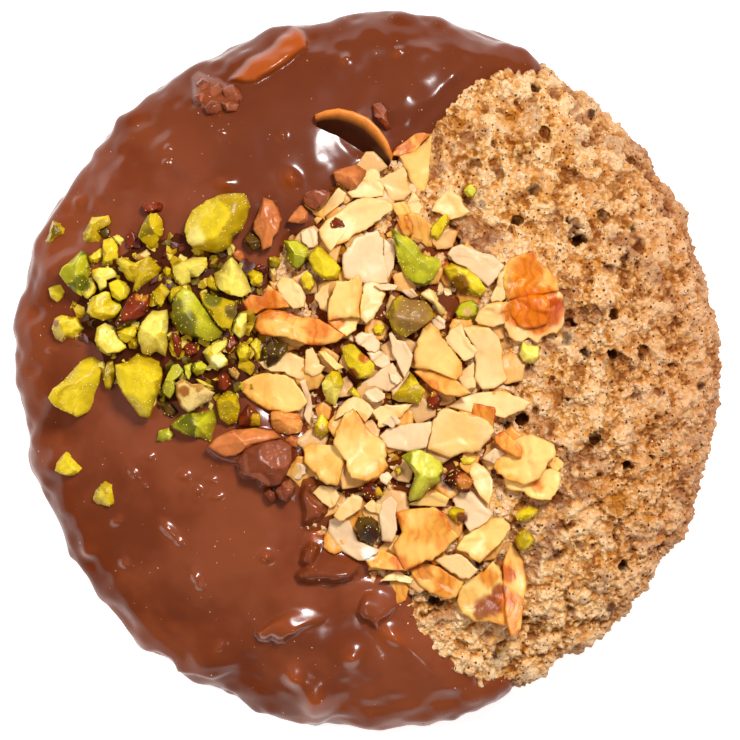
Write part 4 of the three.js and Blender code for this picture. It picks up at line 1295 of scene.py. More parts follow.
@dataclass(frozen=True)
class Coat:
    """The chocolate's height over the dough: a skin that thins to a ragged edge, and what it flows over."""

    thickness: float = 1.15
    sunk: float = -0.7
    edge_width: float = 2.2
    edge_share: float = 0.3
    edge_fade: float = 8.0
    ragged: tuple[Wave, ...] = (Wave(0.8, 3.6), Wave(0.35, 1.3))
    swells: tuple[Wave, ...] = (Wave(0.22, 6.5), Wave(0.09, 2.4))
    rough: tuple[Wave, ...] = (Wave(0.55, 4.2), Wave(0.3, 1.9))
    side: tuple[float, float] = (38.0, 46.0)
    bead: float = 0.14
    bead_inside: float = 1.6
    bead_width: float = 1.1
    margin: float = 0.7
    relief_edge: tuple[float, float] = (-0.4, 2.4)
    fold: float = 0.8
    fold_inside: float = 2.6
    fold_outside: float = 0.5

    def inside(self, x: Array, y: Array, z: Array) -> Array:
        """The distance from the ragged edge, above zero under the chocolate."""
        distance = COAT_EDGE.inside(x, y) + waves(self.ragged, x, y, z)
        for piece in (*RISES, *COATED_NUTS):
            distance = np.maximum(distance, depth_inside(piece.outline, x, y) + self.margin)
        return distance

    def lump_height(self, x: Array, y: Array) -> Array:
        """The height of the broad lumps."""
        total = np.zeros(x.shape)
        for lump in COAT_LUMPS:
            middle = PHOTO.place(lump.px, lump.py)
            away = np.hypot(x - middle[0], y - middle[1]) / lump.radius
            total += lump.height * np.exp(-away * away)
        return total

    def small_rises(self, x: Array, y: Array) -> Array:
        """The height of the pimples."""
        return sum(1.3 * pimple.rise * np.exp(-1.4 * pimple.outward(x, y) ** 2) for pimple in PIMPLES)

    def covered(self, x: Array, y: Array) -> tuple[Array, Array]:
        """The height of what the chocolate flows over, and how thin it is there."""
        height, thin = np.zeros(x.shape), np.zeros(x.shape)
        uneven = 0.14 * lumps(x, y, np.zeros(x.shape), 1.6)
        for rise in RISES:
            depth = depth_inside(rise.outline, x, y) + uneven
            profile = np.sqrt(smooth(depth, -0.2, rise.shoulder)) * rise.slope(x, y)
            height = np.maximum(height, rise.height * profile * (1 + uneven))
            thin = np.maximum(thin, rise.thin * profile)
        return height, thin

    def folds(self, x: Array, y: Array) -> Array:
        """The height of the folds along the rim: each swells inside its line and drops off outside it."""
        total = np.zeros(x.shape)
        angle, radius = np.arctan2(y, x) % (2 * math.pi), np.hypot(x, y)
        for fold in FOLDS:
            line = places_of(fold)
            line_angle, line_radius = np.arctan2(line[:, 1], line[:, 0]) % (2 * math.pi), np.hypot(*line.T)
            order = np.argsort(line_angle)
            away = radius - np.interp(angle, line_angle[order], line_radius[order])
            width = np.where(away < 0, self.fold_inside, self.fold_outside)
            ends = smooth(angle, line_angle.min() - 0.04, line_angle.min() + 0.06)
            ends = ends * (1 - smooth(angle, line_angle.max() - 0.06, line_angle.max() + 0.04))
            total += self.fold * ends * np.exp(-((away / width) ** 2))
        return total

    def height(self, places: Array) -> Array:
        """The chocolate's height above the dough at points of the dough's surface, without what it covers."""
        x, y, z = places.T
        inside = self.inside(x, y, z)
        share = np.clip((inside + self.edge_width / 2) / self.edge_width, 0, 1)
        full = smooth(inside, 0, self.edge_fade)
        thickness = self.thickness * (self.edge_share + (1 - self.edge_share) * full)
        skin = self.sunk + (GAP + thickness - self.sunk) * np.sqrt(1 - (1 - share) ** 2)
        bead = self.bead * np.exp(-(((inside - self.bead_inside) / self.bead_width) ** 2))
        side = smooth(np.hypot(x, y), *self.side)
        swells, rough = waves(self.swells, x, y, z), waves(self.rough, x, y, z)
        hollow = HOLLOW.rise * (1 - smooth(HOLLOW.outward(x, y), 0.3, 1.0))
        relief = self.lump_height(x, y) + swells + side * rough + self.folds(x, y) - hollow
        relief = relief + self.small_rises(x, y)
        return skin + smooth(inside, *self.relief_edge) * (bead + relief)

    def thinness_and_painted_glow(self, x: Array, y: Array) -> Array:
        """How thin the coat is over nuts, with painted warm light at the lower left of the pimples."""
        # Painted warm light: the pimples, shifted to their lower left, turn the coat caramel on that side
        pimples = self.small_rises(x + 0.3, y + 0.35) / self.thickness
        return np.clip(np.maximum(self.covered(x, y)[1], 0.7 * pimples), 0, 1)


COAT = Coat()


def ground(x: float, y: float) -> float:
    """The height of what a topping lies on over a point: bare dough or chocolate."""
    xs, ys = np.array([x]), np.array([y])
    coated = COAT_EDGE.inside(xs, ys) > 0
    cover = np.where(coated, GAP + COAT.thickness + COAT.lump_height(xs, ys), 0)
    return float((DOUGH.top(xs, ys) + cover)[0])


@dataclass(frozen=True)
class NutShape:
    """How a chopped nut is shaped: a kernel with flat knife cuts, stretched to fill its outline."""

    cuts: int = 4
    small_cuts: int = 3
    sharpness: float = 24.0
    rough: float = 0.06
    grain: tuple[Wave, ...] = (Wave(1.0, 1.1), Wave(0.7, 0.35))
    large: float = 4.0
    sectors: int = 48
    shade: tuple[float, ...] = (0.55, 0.7, 0.9, 0.0)

    def slopes(self, seed: float, directions: Array) -> Array:
        """How far each direction passes each cut, 1 where it meets it."""
        rows = []
        for cut in range(self.cuts + self.small_cuts):
            rise, angle = 2 * chance(seed, cut, 1) - 1, 2 * math.pi * chance(seed, cut, 2)
            rise = abs(rise) if cut % 2 == 0 else rise
            flat = math.sqrt(1 - rise * rise)
            normal = np.array([flat * math.cos(angle), flat * math.sin(angle), rise])
            deepest, spread = (0.42, 0.3) if cut < self.cuts else (0.62, 0.22)
            rows.append(np.maximum(0, directions @ normal) / (deepest + spread * chance(seed, cut, 3)))
        return np.array(rows)

    def stretch(self, outline: Array, points: Array) -> Array:
        """How far the plan of each point is stretched, to fill an outline about the origin."""
        angle, away = np.arctan2(points[:, 1], points[:, 0]), np.hypot(*points.T[:2])
        sector = (angle / (2 * math.pi) % 1 * self.sectors).astype(int) % self.sectors
        widest = np.zeros(self.sectors)
        np.maximum.at(widest, sector, away)
        facing = (np.arange(self.sectors) + 0.5) / self.sectors * 2 * math.pi
        rim = rim_radius(outline, angle)
        return rim / np.interp(angle, facing, widest, period=2 * math.pi)

    def patch(self, nut: Nut, bed: float) -> Patch:
        """A nut on the ground plus a bed.

        Args:
            nut: The nut's outline, height and look.
            bed: Height of the heap under it.

        Returns:
            The nut's mesh, tinted by its cuts and its skin, with painted shade on its lower part.
        """
        middle = middle_of(nut.outline)
        seed = seed_at(middle)
        directions, faces = unit_sphere(5 if nut.length >= self.large else 4)
        slopes = self.slopes(seed, directions)
        reach = (1 + (slopes**self.sharpness).sum(axis=0)) ** (-1 / self.sharpness)
        points = directions * reach[:, None]
        points[:, :2] *= self.stretch(nut.outline - middle, points)[:, None]
        low, high = points[:, 2].min(), points[:, 2].max()
        points[:, 2] = (points[:, 2] - low) / (high - low) * nut.height
        x, y, z = (points + 100 * chance(seed, 21)).T
        points = points + directions * (self.rough * waves(self.grain, x, y, z))[:, None]
        is_cut = smooth(slopes.max(axis=0), 0.97, 1.02)
        worn = smooth(lumps(x, y, z, 1.3), -0.2, 0.6)
        fresh = is_cut * (0.45 + 0.55 * chance(seed, slopes.argmax(axis=0), 24))
        share = np.clip(fresh + 0.25 * worn, 0, 1)
        cut_colour, skin_colour = (np.array(linear(colour)) for colour in nut.look.value)
        tint = skin_colour + (cut_colour - skin_colour) * share[:, None]
        # Painted shade: the lower part of each nut is darkened by the shade factors
        shaded = 0.7 * (1 - smooth(points[:, 2] / nut.height, 0.3, 0.75))
        tint = tint * (1 - shaded[:, None] * self.shade)
        points += [*middle, ground(*middle) + bed - SINK]
        return Patch(points, faces, stained_and_glinted(tint, points[:, :2]))


def own_lumps(x: Array, y: Array, span: float, seed: float, level: float) -> Array:
    """Smooth lumps, a span apart, that differ from flake to flake."""
    return lumps(x / span + seed, y / span, np.full(len(x), level))


@dataclass(frozen=True)
class FlakeShape:
    """How an almond flake is shaped: thin, with a slightly ragged outline, bent, with a layer split off."""

    thickness: float = 0.65
    shade: Rgba = (1.0, 1.0, 1.0, 1.0)
    steps: int = 96
    top_rings: tuple[float, ...] = (0.16, 0.32, 0.48, 0.64, 0.78, 0.9, 0.96, 1.0)
    under_rings: tuple[float, ...] = (0.4, 0.9)
    jag: float = 0.14
    fold: float = 0.4
    split: float = 0.22
    grain: float = 0.03
    long: float = 8.0
    curl: float = 0.05
    layer: float = 0.7
    tilt: float = 21.0

    def rim(self, outline: Array, seed: float) -> Array:
        """An outline as even steps, with small teeth where it is broken."""
        corners = np.vstack([outline, outline[:1]])
        runs = np.append(0, np.cumsum(np.hypot(*np.diff(corners, axis=0).T)))
        even = np.arange(self.steps) / self.steps * runs[-1]
        line = np.column_stack([np.interp(even, runs, corners[:, axis]) for axis in (0, 1)])
        x, y = line.T
        teeth = own_lumps(x, y, 0.9, seed, seed)
        teeth = teeth + 0.6 * own_lumps(x, y, 0.4, seed, seed)
        broken = smooth(own_lumps(x, y, 3.0, seed, 3 * seed), -0.3, 0.3)
        away = line / np.maximum(np.hypot(x, y), 0.1)[:, None]
        return line + away * (self.jag * teeth * (0.3 + 1.4 * broken))[:, None]

    def patch(self, flake: Flake, bed: float) -> Patch:
        """A flake on the ground plus a bed.

        Args:
            flake: The flake's outline, layer and look.
            bed: Height of the heap under it.

        Returns:
            The flake's mesh, tinted by its flesh and how it is toasted.
        """
        middle = middle_of(flake.outline)
        seed = seed_at(middle)
        rim = self.rim(flake.outline - middle, seed)
        shares = np.array([*self.top_rings, *self.under_rings])
        plan = np.vstack([np.zeros((2, 2)), *(rim * share for share in shares)])
        outward = np.concatenate([[0, 0], np.repeat(shares, self.steps)])
        side = np.where(np.arange(len(plan)) >= 2 + len(self.top_rings) * self.steps, -1.0, 1.0)
        side[1] = -1.0
        points = np.column_stack([plan, side * self.thickness / 2 * np.sqrt(1 - outward**24)])
        points[:, 2] += self.relief(rim, points, outward, side > 0, seed)
        tint = stained_and_glinted(self.tint(flake.look, points, outward, seed), plan + middle)
        tilts = self.tilt * (chance(seed, 7) - 0.5), self.tilt * (chance(seed, 8) - 0.5)
        points[:, 2] += np.tan(np.radians(tilts)) @ plan.T
        rise = bed + flake.layer * self.layer + self.thickness / 2 - SINK / 2
        points += [*middle, ground(*middle) + rise]
        return Patch(points, self.faces(), tint)

    def relief(self, rim: Array, points: Array, outward: Array, is_top: Array, seed: float) -> Array:
        """The rise of a flake's curl, bends and split layer at its points."""
        x, y = points.T[:2]
        spread = np.cov(rim.T)
        turn = 0.5 * math.atan2(2 * spread[0, 1], spread[0, 0] - spread[1, 1])
        along = x * math.cos(turn) + y * math.sin(turn)
        length = float(np.ptp(rim @ [math.cos(turn), math.sin(turn)]))
        curl = self.curl * length if length >= self.long else 0.0
        rise = curl * (along / (length / 2)) ** 2
        rise += self.fold * own_lumps(x, y, 3.4, seed, seed)
        rise += self.grain * own_lumps(x, y, 0.7, seed, seed) * (1 - outward**8)
        facing = 2 * math.pi * chance(seed, 13)
        across = (x * math.cos(facing) + y * math.sin(facing)) / length
        wander = 0.07 * own_lumps(x, y, 1.1, seed, seed)
        return rise + is_top * self.split * smooth(across + wander, 0.04, 0.16) * (1 - outward**12)

    def tint(self, look: AlmondLook, points: Array, outward: Array, seed: float) -> Array:
        """The colour of a flake at its points, times its shade, which is painted shade for flakes that lie
        low.
        """
        x, y = points.T[:2]
        patchy = 0.5 + 0.5 * own_lumps(x, y, 2.4, seed, 2 * seed)
        patchy = 0.7 * patchy + 0.3 * (0.5 + 0.5 * own_lumps(x, y, 0.8, seed, seed))
        flesh, edge, middle = look.value
        toast = edge * outward**6 * (0.2 + 1.0 * patchy) + middle * smooth(patchy, 0.4, 0.75)
        colour, honey, brown = (np.array(linear(shade)) for shade in (flesh, HONEY, TOAST))
        tint = colour + (honey - colour) * smooth(toast, 0, 0.5)[:, None]
        tint = tint + (brown - tint) * smooth(toast, 0.45, 1.1)[:, None]
        return tint * np.array(self.shade) * (0.94 + 0.12 * chance(seed, 23))

    def faces(self) -> Array:
        """The triangles of every flake: a top and an underside that share the rim."""
        step = np.arange(self.steps)
        following = (step + 1) % self.steps
        top = len(self.top_rings)
        rings = [2 + ring * self.steps for ring in range(top + len(self.under_rings))]
        starts = {1: rings[:top], -1: [*rings[top:], rings[top - 1]]}
        triangles = []
        for order, firsts in starts.items():
            middle = np.full(self.steps, 0 if order == 1 else 1)
            bands = [(middle, firsts[0] + step, firsts[0] + following)]
            for inner, outer in zip(firsts, firsts[1:]):
                bands.append((inner + step, outer + step, outer + following))
                bands.append((inner + step, outer + following, inner + following))
            triangles += [np.column_stack(band)[:, ::order] for band in bands]
        return np.vstack(triangles)


@dataclass(frozen=True)
class CurledFlake:
    """An almond flake that stands in the chocolate, curled to an arc, with its top edge and its foot."""

    edge: str = "315,119 325,115 338,113 352,116 366,122 377,133 385,145 391,160"
    foot: str = "317,131 327,136 338,141 348,147 357,154 365,160 374,166 387,170"
    height: float = 3.6
    thickness: float = 0.6
    steps: int = 60
    down: int = 12
    amber: Rgb = (222, 132, 50)
    # dark is painted shade in the hollow, over the chocolate on the flake
    dark: Rgb = (62, 24, 10)

    def line(self, corners: str) -> Array:
        """A line in the plan as even steps, from its corners in the photograph."""
        knots = places_of(corners)
        runs = np.append(0, np.cumsum(np.hypot(*np.diff(knots, axis=0).T)))
        even = np.linspace(0, runs[-1], self.steps)
        return np.column_stack([np.interp(even, runs, knots[:, axis]) for axis in (0, 1)])

    def patch(self) -> Patch:
        """The flake's mesh: a loop up its hollow side and down its back, at every step of the arc."""
        edge, foot = self.line(self.edge), self.line(self.foot)
        outward = (edge - foot) / np.hypot(*(edge - foot).T)[:, None]
        number = np.arange(self.steps)
        top = self.height * np.sqrt(smooth(np.minimum(number, number[::-1]), -4, 9))
        base = ground(*middle_of(np.vstack([edge, foot[::-1]]))) - SINK
        rows, shades = [], []
        for rise in np.linspace(0, 1, self.down):
            rows.append(np.column_stack([foot + (edge - foot) * rise, base + top * rise]))
            shades.append(1 - smooth(np.full(self.steps, rise), 0.7, 1.0))
        for rise in np.linspace(1, 0, self.down):
            rows.append(np.column_stack([edge + outward * self.thickness, base + top * rise]))
            shades.append(np.zeros(self.steps))
        count = len(rows)
        points = np.stack(rows, axis=1).reshape(-1, 3)
        step, down = (grid.ravel() for grid in np.mgrid[: self.steps - 1, :count])
        a, b = step * count + down, step * count + (down + 1) % count
        ring = np.arange(1, count - 1)
        last = (self.steps - 1) * count
        start_cap = np.column_stack([np.zeros(len(ring), int), ring, ring + 1])
        end_cap = last + np.column_stack([np.zeros(len(ring), int), ring + 1, ring])
        sides = [np.column_stack([a, a + count, b]), np.column_stack([b, a + count, b + count])]
        faces = np.vstack([*sides, start_cap, end_cap])
        # The hollow side runs from amber at its top edge to dark below: painted shade in the hollow over the
        # flake's chocolate
        amber, dark = np.array(linear(self.amber)), np.array(linear(self.dark))
        tint = amber + (dark - amber) * np.stack(shades, axis=1).reshape(-1, 1)
        return Patch(points, faces, tint)


@dataclass(frozen=True)
class CrumbLumps:
    """Craggy lumps spread along a spiral over the bare crumb, clear of the larger toppings."""

    spread: int = 80
    reach: float = 44.0
    shortest: float = 3.6
    longest: float = 6.6
    tall: float = 2.2
    clearance: float = 7.5

    def height(self, x: Array, y: Array) -> Array:
        """The height of the lumps."""
        toppings = (*UPPER_ROSETTE, *LOWER_ROSETTE, *FLAKES, *NUTS_ON_CRUMB)
        taken = np.array([middle_of(topping.outline) for topping in toppings])
        total = np.zeros(x.shape)
        for number in range(self.spread):
            away = self.reach * math.sqrt((number + 0.5) / self.spread)
            middle = away * np.array([math.cos(number * GOLDEN), math.sin(number * GOLDEN)])
            clear = np.hypot(*(taken - middle).T).min() > self.clearance
            if clear and DOUGH.bareness(middle[:1], middle[1:])[0] > 0.9:
                length = self.shortest + (self.longest - self.shortest) * chance(number, 11)
                radii = (length / 2, 0.4 * length)
                outward = from_oval(middle, radii, 360 * chance(number, 12), x, y)
                total = np.maximum(total, (self.tall - SINK) * (1 - smooth(outward, 0.1, 1.25)))
        return total


class Spot(Enum):
    """Spots in the crumb: colour, strength, how deep they lie, and x, y and radius of each.

    The places are pixels of the photograph, and the radii millimetres.
    """

    AMBER = ((198, 122, 34), 0.4, 0.0, """
515,115,2.5 510,130,2.2 455,122,1.6 594,192,2.4 545,190,1.8 570,150,2 535,225,1.5 605,490,3 640,465,2.4
580,425,2 545,395,1.6 645,520,2 630,345,1.7 577,345,1.1 668,274,0.9 538,172,1.6 610,505,2 480,120,1.2
""")
    MAUVE = ((150, 92, 60), 0.6, 0.35, """
625,245,2 656,200,0.9 663,208,1 668,214,0.8 575,108,1.4 583,118,1.2 552,93,1.2 485,131,1 465,140,1.3
440,170,1.6 465,230,2.7 480,245,2.2 495,235,1.6 661,277,1 568,300,2 575,312,1.7 590,315,1.5 551,345,1.4
530,370,1.4 565,460,2 575,480,2 585,495,1.5 560,505,2.4 550,530,2.2 540,550,2 530,565,1.9 655,550,1
682,495,1.2 690,470,1.5 485,637,0.9 515,630,1.5 470,205,1.1 430,585,2 440,615,2
""")
    # BROWN and BLACK are dark crumb with painted shade in the hollows and pits that they sink
    BROWN = ((112, 52, 16), 0.85, 0.7, """
498,172,1 474,163,0.8 572,228,1.2 620,258,1 637,240,0.9 609,266,0.7 632,159,0.6 625,152,0.7 588,447,1
557,553,0.8 580,546,0.8 592,548,0.6 555,499,0.9 572,612,0.8 638,395,1.1 660,395,0.8 535,635,0.9 565,318,1
495,655,0.7 640,352,1 510,380,1.2 535,412,0.7 545,130,0.6
""")
    BLACK = ((58, 18, 2), 0.95, 1.3, """
535,86,0.9 487,73,0.6 534,187,0.9 596,203,0.6 602,213,0.8 578,238,0.9 566,220,0.4 634,226,0.7 614,315,0.6
517,221,0.5 555,258,0.4 585,352,0.7 612,353,0.6 595,440,0.9 627,465,0.6 652,457,0.5 568,399,0.4 520,418,0.9
507,425,0.9 487,443,0.9 623,569,0.7 432,600,1.1 408,597,0.9 525,620,0.5 450,548,0.9 478,563,0.8 397,160,1
418,238,1.1 452,240,0.8 490,685,0.9
""")
    PURPLE = ((62, 14, 14), 0.9, -0.3, """
567,337,1.1 623,198,0.5 592,114,0.5 610,604,0.8 632,549,0.6 480,203,0.8 565,527,0.6 700,385,0.6
""")


# Pieces of the biscuit


def add_piece(piece: Object, slot: str, *nodes: str) -> Object:
    """Fixes a finished piece to the row: its body and the solids that it stands for; its slot is not used."""
    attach(piece, "root")
    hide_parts(*nodes)
    log.info("%s: %d faces, for %s", piece.name, len(piece.data.polygons), ", ".join(nodes))
    return piece


class GrainForm(Enum):
    """The form of a strewn grain: a ball, or a flat shard with six broken sides."""

    BALL = "ball"
    SHARD = "shard"


@dataclass(frozen=True)
class Strewn:
    """Small grains strewn over a surface by a Geometry Nodes tree; sizes in mm, density per square mm."""

    name: str
    form: GrainForm
    density: float
    smallest: float
    largest: float
    seed: int
    thick: float = 0.6
    lean: float = 0.6
    lowest_up: float = -1.0

    def grain(self, tree: Tree) -> NodeSocket:
        """One grain, a millimetre across."""
        if self.form is GrainForm.BALL:
            ball = {"Radius": 0.5 * METRES, "Subdivisions": 2}
            return tree.add("GeometryNodeMeshIcoSphere", ball).outputs[0]
        prism = {"Vertices": 6, "Radius": 0.5 * METRES, "Depth": self.thick * METRES}
        return tree.add("GeometryNodeMeshCylinder", prism, fill_type="TRIANGLE_FAN").outputs["Mesh"]

    def growth(self, material: Material) -> Growth:
        """The tree that strews the grains and gives each a number for its colour."""
        values = {
            "Density": self.density / METRES**2,
            "Smallest": self.smallest,
            "Largest": self.largest,
            "Seed": self.seed,
        }
        growth = Growth(self.name, values)
        tree, inputs = growth.tree, growth.inputs
        seed = inputs["Seed"]
        normal = tree.add("GeometryNodeInputNormal").outputs[0]
        up = tree.add("ShaderNodeSeparateXYZ", {0: normal}).outputs[2]
        spread = {
            "Mesh": inputs["Geometry"],
            "Selection": tree.math("GREATER_THAN", up, self.lowest_up),
            "Density": inputs["Density"],
            "Seed": seed,
        }
        points = tree.add("GeometryNodeDistributePointsOnFaces", spread).outputs["Points"]
        turns = tree.random_vector((-self.lean, -self.lean, 0.0), (self.lean, self.lean, 6.28), seed)
        sizes = tree.random_number(inputs["Smallest"], inputs["Largest"], seed)
        scale = tree.scaled(tree.random_vector((0.8, 0.6, 0.8), (1.3, 1.0, 1.2), seed), sizes)
        instances = {"Points": points, "Instance": self.grain(tree), "Rotation": turns, "Scale": scale}
        strewn = tree.add("GeometryNodeInstanceOnPoints", instances).outputs[0]
        done = tree.keep(strewn, "kind", tree.random_number(0.0, 1.0, seed), "INSTANCE")
        if self.form is GrainForm.SHARD:
            done = self.broken(tree, done)
        growth.close(done, material, rounded=self.form is GrainForm.BALL)
        return growth

    @staticmethod
    def broken(tree: Tree, strewn: NodeSocket) -> NodeSocket:
        """The shards with their corners pushed about, so that no two are alike."""
        real = tree.add("GeometryNodeRealizeInstances", {0: strewn}).outputs[0]
        place = tree.millimetres(tree.add("GeometryNodeInputPosition").outputs[0])
        noise = {"Vector": place, "Scale": 0.9, "Detail": 2.0}
        centre = {0: tree.add("ShaderNodeTexNoise", noise).outputs["Color"], 1: (0.5, 0.5, 0.5)}
        centred = tree.add("ShaderNodeVectorMath", centre, operation="SUBTRACT").outputs[0]
        push = tree.scaled(centred, 1.8 * METRES)
        return tree.add("GeometryNodeSetPosition", {"Geometry": real, "Offset": push}).outputs[0]

    def over(self, patch: Patch, material: Material) -> Object:
        """The grains over a patch, as one piece."""
        return self.growth(material).bake(Patch(patch.points, patch.faces).build(self.name, material))


@dataclass(frozen=True)
class Crumb:
    """The bare crumb, its relief, and the plain rest of the dough under the chocolate."""

    spacing: float = 0.26
    hidden_spacing: float = 1.5
    overlap: float = 3.0
    tuck: float = 1.6
    lumps: CrumbLumps = CrumbLumps()
    finish: CrumbFinish = CrumbFinish()

    def relief(self, material: Material) -> Growth:
        """The tree that raises lumps and grains and sinks pits, and notes each point's grain and height."""
        values = {"Lump height": 0.85, "Grain height": 0.6, "Dust height": 0.45, "Pit depth": 1.1}
        growth = Growth("crumb_relief", values)
        tree, inputs = growth.tree, growth.inputs
        place = tree.millimetres(tree.add("GeometryNodeInputPosition").outputs[0])
        loose = tree.warped(place, 2.2, 2.2)
        small = tree.cells(loose, 1.5)
        sizes = {
            "Lump height": tree.cells(loose, 3.6),
            "Grain height": small,
            "Dust height": tree.cells(tree.warped(place, 0.6, 0.5), 0.75),
        }
        rises = []
        for label, cells in sizes.items():
            share = tree.ramp(cells.outputs["Distance"], 0.85, 0.1)
            rises.append(tree.math("MULTIPLY", share, inputs[label]))
        lump, grain, dust = rises
        pit_share = tree.ramp(tree.noise(place, 2.6, 2.0), 0.64, 0.71)
        pit = tree.math("MULTIPLY", pit_share, inputs["Pit depth"])
        height = tree.math("SUBTRACT", tree.math("ADD", tree.math("ADD", lump, grain), dust), pit)
        high = tree.ramp(height, 0.1, 1.8)
        normal = tree.add("GeometryNodeInputNormal").outputs[0]
        lifted = tree.math("MULTIPLY", tree.math("SUBTRACT", height, 0.9), METRES)
        offset = tree.scaled(normal, lifted)
        kind = tree.add("FunctionNodeSeparateColor", {0: small.outputs["Color"]}).outputs[0]
        noted = tree.keep(tree.keep(inputs["Geometry"], "kind", kind), "height", high)
        moved = tree.add("GeometryNodeSetPosition", {"Geometry": noted, "Offset": offset}).outputs[0]
        growth.close(moved, material)
        return growth

    @staticmethod
    def spots(x: Array, y: Array) -> tuple[Array, Array]:
        """The colour and, as fourth value, the share of the spots over the plan, and how deep they lie."""
        tint, depth = np.zeros((len(x), 4)), np.zeros(len(x))
        uneven = 0.6 * lumps(x, y, np.zeros(len(x)), 0.9)
        for spot in Spot:
            colour, strength, sunk, places = spot.value
            for px, py, radius in numbers(places):
                away = np.hypot(*(np.column_stack([x, y]) - PHOTO.place(px, py)).T) / radius + uneven
                share = strength * (1 - smooth(away, 0.4, 1.1))
                below = tint[:, 3] * (1 - share)
                total = share + below
                mixed = np.outer(share, linear(colour)[:3]) + tint[:, :3] * below[:, None]
                tint = np.column_stack([mixed / np.maximum(total, 1e-6)[:, None], total])
                depth = np.maximum(depth, sunk * share) if sunk > 0 else depth + sunk * share
        return tint, depth

    def build(self) -> None:
        """Makes the bare crumb and the hidden dough."""
        material = self.finish.material()
        run, angle, faces = Net(self.spacing).lay(lambda x, y: COAT_EDGE.inside(x, y) < self.overlap)
        points, normal = DOUGH.surface(run, angle)
        tint, sunk = self.spots(*points.T[:2])
        rise = self.lumps.height(*points.T[:2]) * (1 - tint[:, 3]) - sunk
        rise -= self.tuck * smooth(COAT_EDGE.inside(*points.T[:2]), 0.2, 2.0)
        crumb = Patch(points + normal * rise[:, None], faces, tint).build("crumb", material)
        self.relief(material).bake(crumb)
        self.flatten(crumb)
        add_piece(crumb, "crumb", "biscuit")
        run, angle, faces = Net(self.hidden_spacing).lay(lambda x, y: COAT_EDGE.inside(x, y) > 1.0)
        points, _ = DOUGH.surface(run, angle)
        dough = Patch.joined([Patch(points, faces), self.base()]).build("hidden_dough", material)
        add_piece(dough, "crumb", "biscuit")

    @staticmethod
    def flatten(crumb: Object) -> None:
        """Keeps the relief above the surface that the biscuit lies on."""
        for vertex in crumb.data.vertices:
            vertex.co.z = max(vertex.co.z, 0.0)

    @staticmethod
    def base() -> Patch:
        """The flat base."""
        count = 240
        angle = np.arange(count) / count * 2 * math.pi
        rim, _ = DOUGH.surface(np.full(count, DOUGH.reach), angle)
        points = np.vstack([[DOUGH.shift, 0, 0], rim * [1, 1, 0]])
        step = np.arange(count)
        return Patch(points, np.column_stack([np.zeros(count, int), 1 + (step + 1) % count, 1 + step]))


@dataclass(frozen=True)
class Chocolate:
    """The chocolate coat over nuts and dough, and its small raised dots."""

    spacing: float = 0.29
    foot: float = 0.7
    foot_width: float = 2.2
    dots: Strewn = Strewn("chocolate_dots", GrainForm.BALL, 0.035, 0.08, 0.24, seed=5, lean=0.3)
    dot_finish: GrainFinish = GrainFinish(
        "chocolate_dots", ((196, 136, 104), (166, 104, 76), (212, 164, 140))
    )
    finish: ChocolateFinish = ChocolateFinish()

    def build(self) -> None:
        """Makes the coat and its dots."""
        material = self.finish.material()
        run, angle, faces = Net(self.spacing, DOUGH.reach - self.foot).lay(self.covers)
        points, normal = DOUGH.surface(run, angle)
        foot = np.sqrt(smooth(DOUGH.reach - self.foot - run, 0, self.foot_width))
        thin = COAT.thinness_and_painted_glow(*points.T[:2])
        raised = np.outer(COAT.covered(*points.T[:2])[0], [0, 0, 1])
        coat = Patch(points + normal * (COAT.height(points) * foot)[:, None] + raised, faces, share=thin)
        add_piece(coat.build("chocolate_coat", material), "chocolate", "chocolate")
        add_piece(self.dots.over(coat, self.dot_finish.material()), "chocolate", "chocolate")

    @staticmethod
    def covers(x: Array, y: Array) -> Array:
        """Whether the chocolate, its ragged edge included, reaches points of the plan."""
        return COAT.inside(x, y, DOUGH.top(x, y)) > -1.6


@dataclass(frozen=True)
class Heap:
    """The core of a heap, dark as painted shade in the gaps between the pieces, and the fine chopped nut that
    fills it between its larger pieces.
    """

    name: str
    mound: Mound
    core: PlainFinish
    rubble: Strewn
    finish: GrainFinish
    spacing: float = 0.6
    foot: float = 0.08
    on_crumb: float = -0.7
    sunk: float = 0.5
    bumps: Wave = Wave(0.35, 1.8)

    def build(self, slot: str, node: str) -> None:
        """Makes the heap's core and the grains on it."""
        run, angle, faces = Net(self.spacing).lay(self.covers)
        points, _ = DOUGH.surface(run, angle)
        x, y, z = points.T
        cover = np.where(COAT_EDGE.inside(x, y) > 0, GAP + COAT.thickness, self.on_crumb)
        lift = cover + np.maximum(0, self.mound.crown(x, y)) - self.sunk + waves((self.bumps,), x, y, z)
        core = Patch(points + np.column_stack([np.zeros((len(x), 2)), lift]), faces)
        add_piece(core.build(f"{self.name}_core", self.core.material()), slot, node)
        add_piece(self.rubble.over(core, self.finish.material()), slot, node)

    def covers(self, x: Array, y: Array) -> Array:
        """Whether the heap's core reaches points of the plan."""
        return self.mound.crown(x, y) > self.foot * self.mound.height


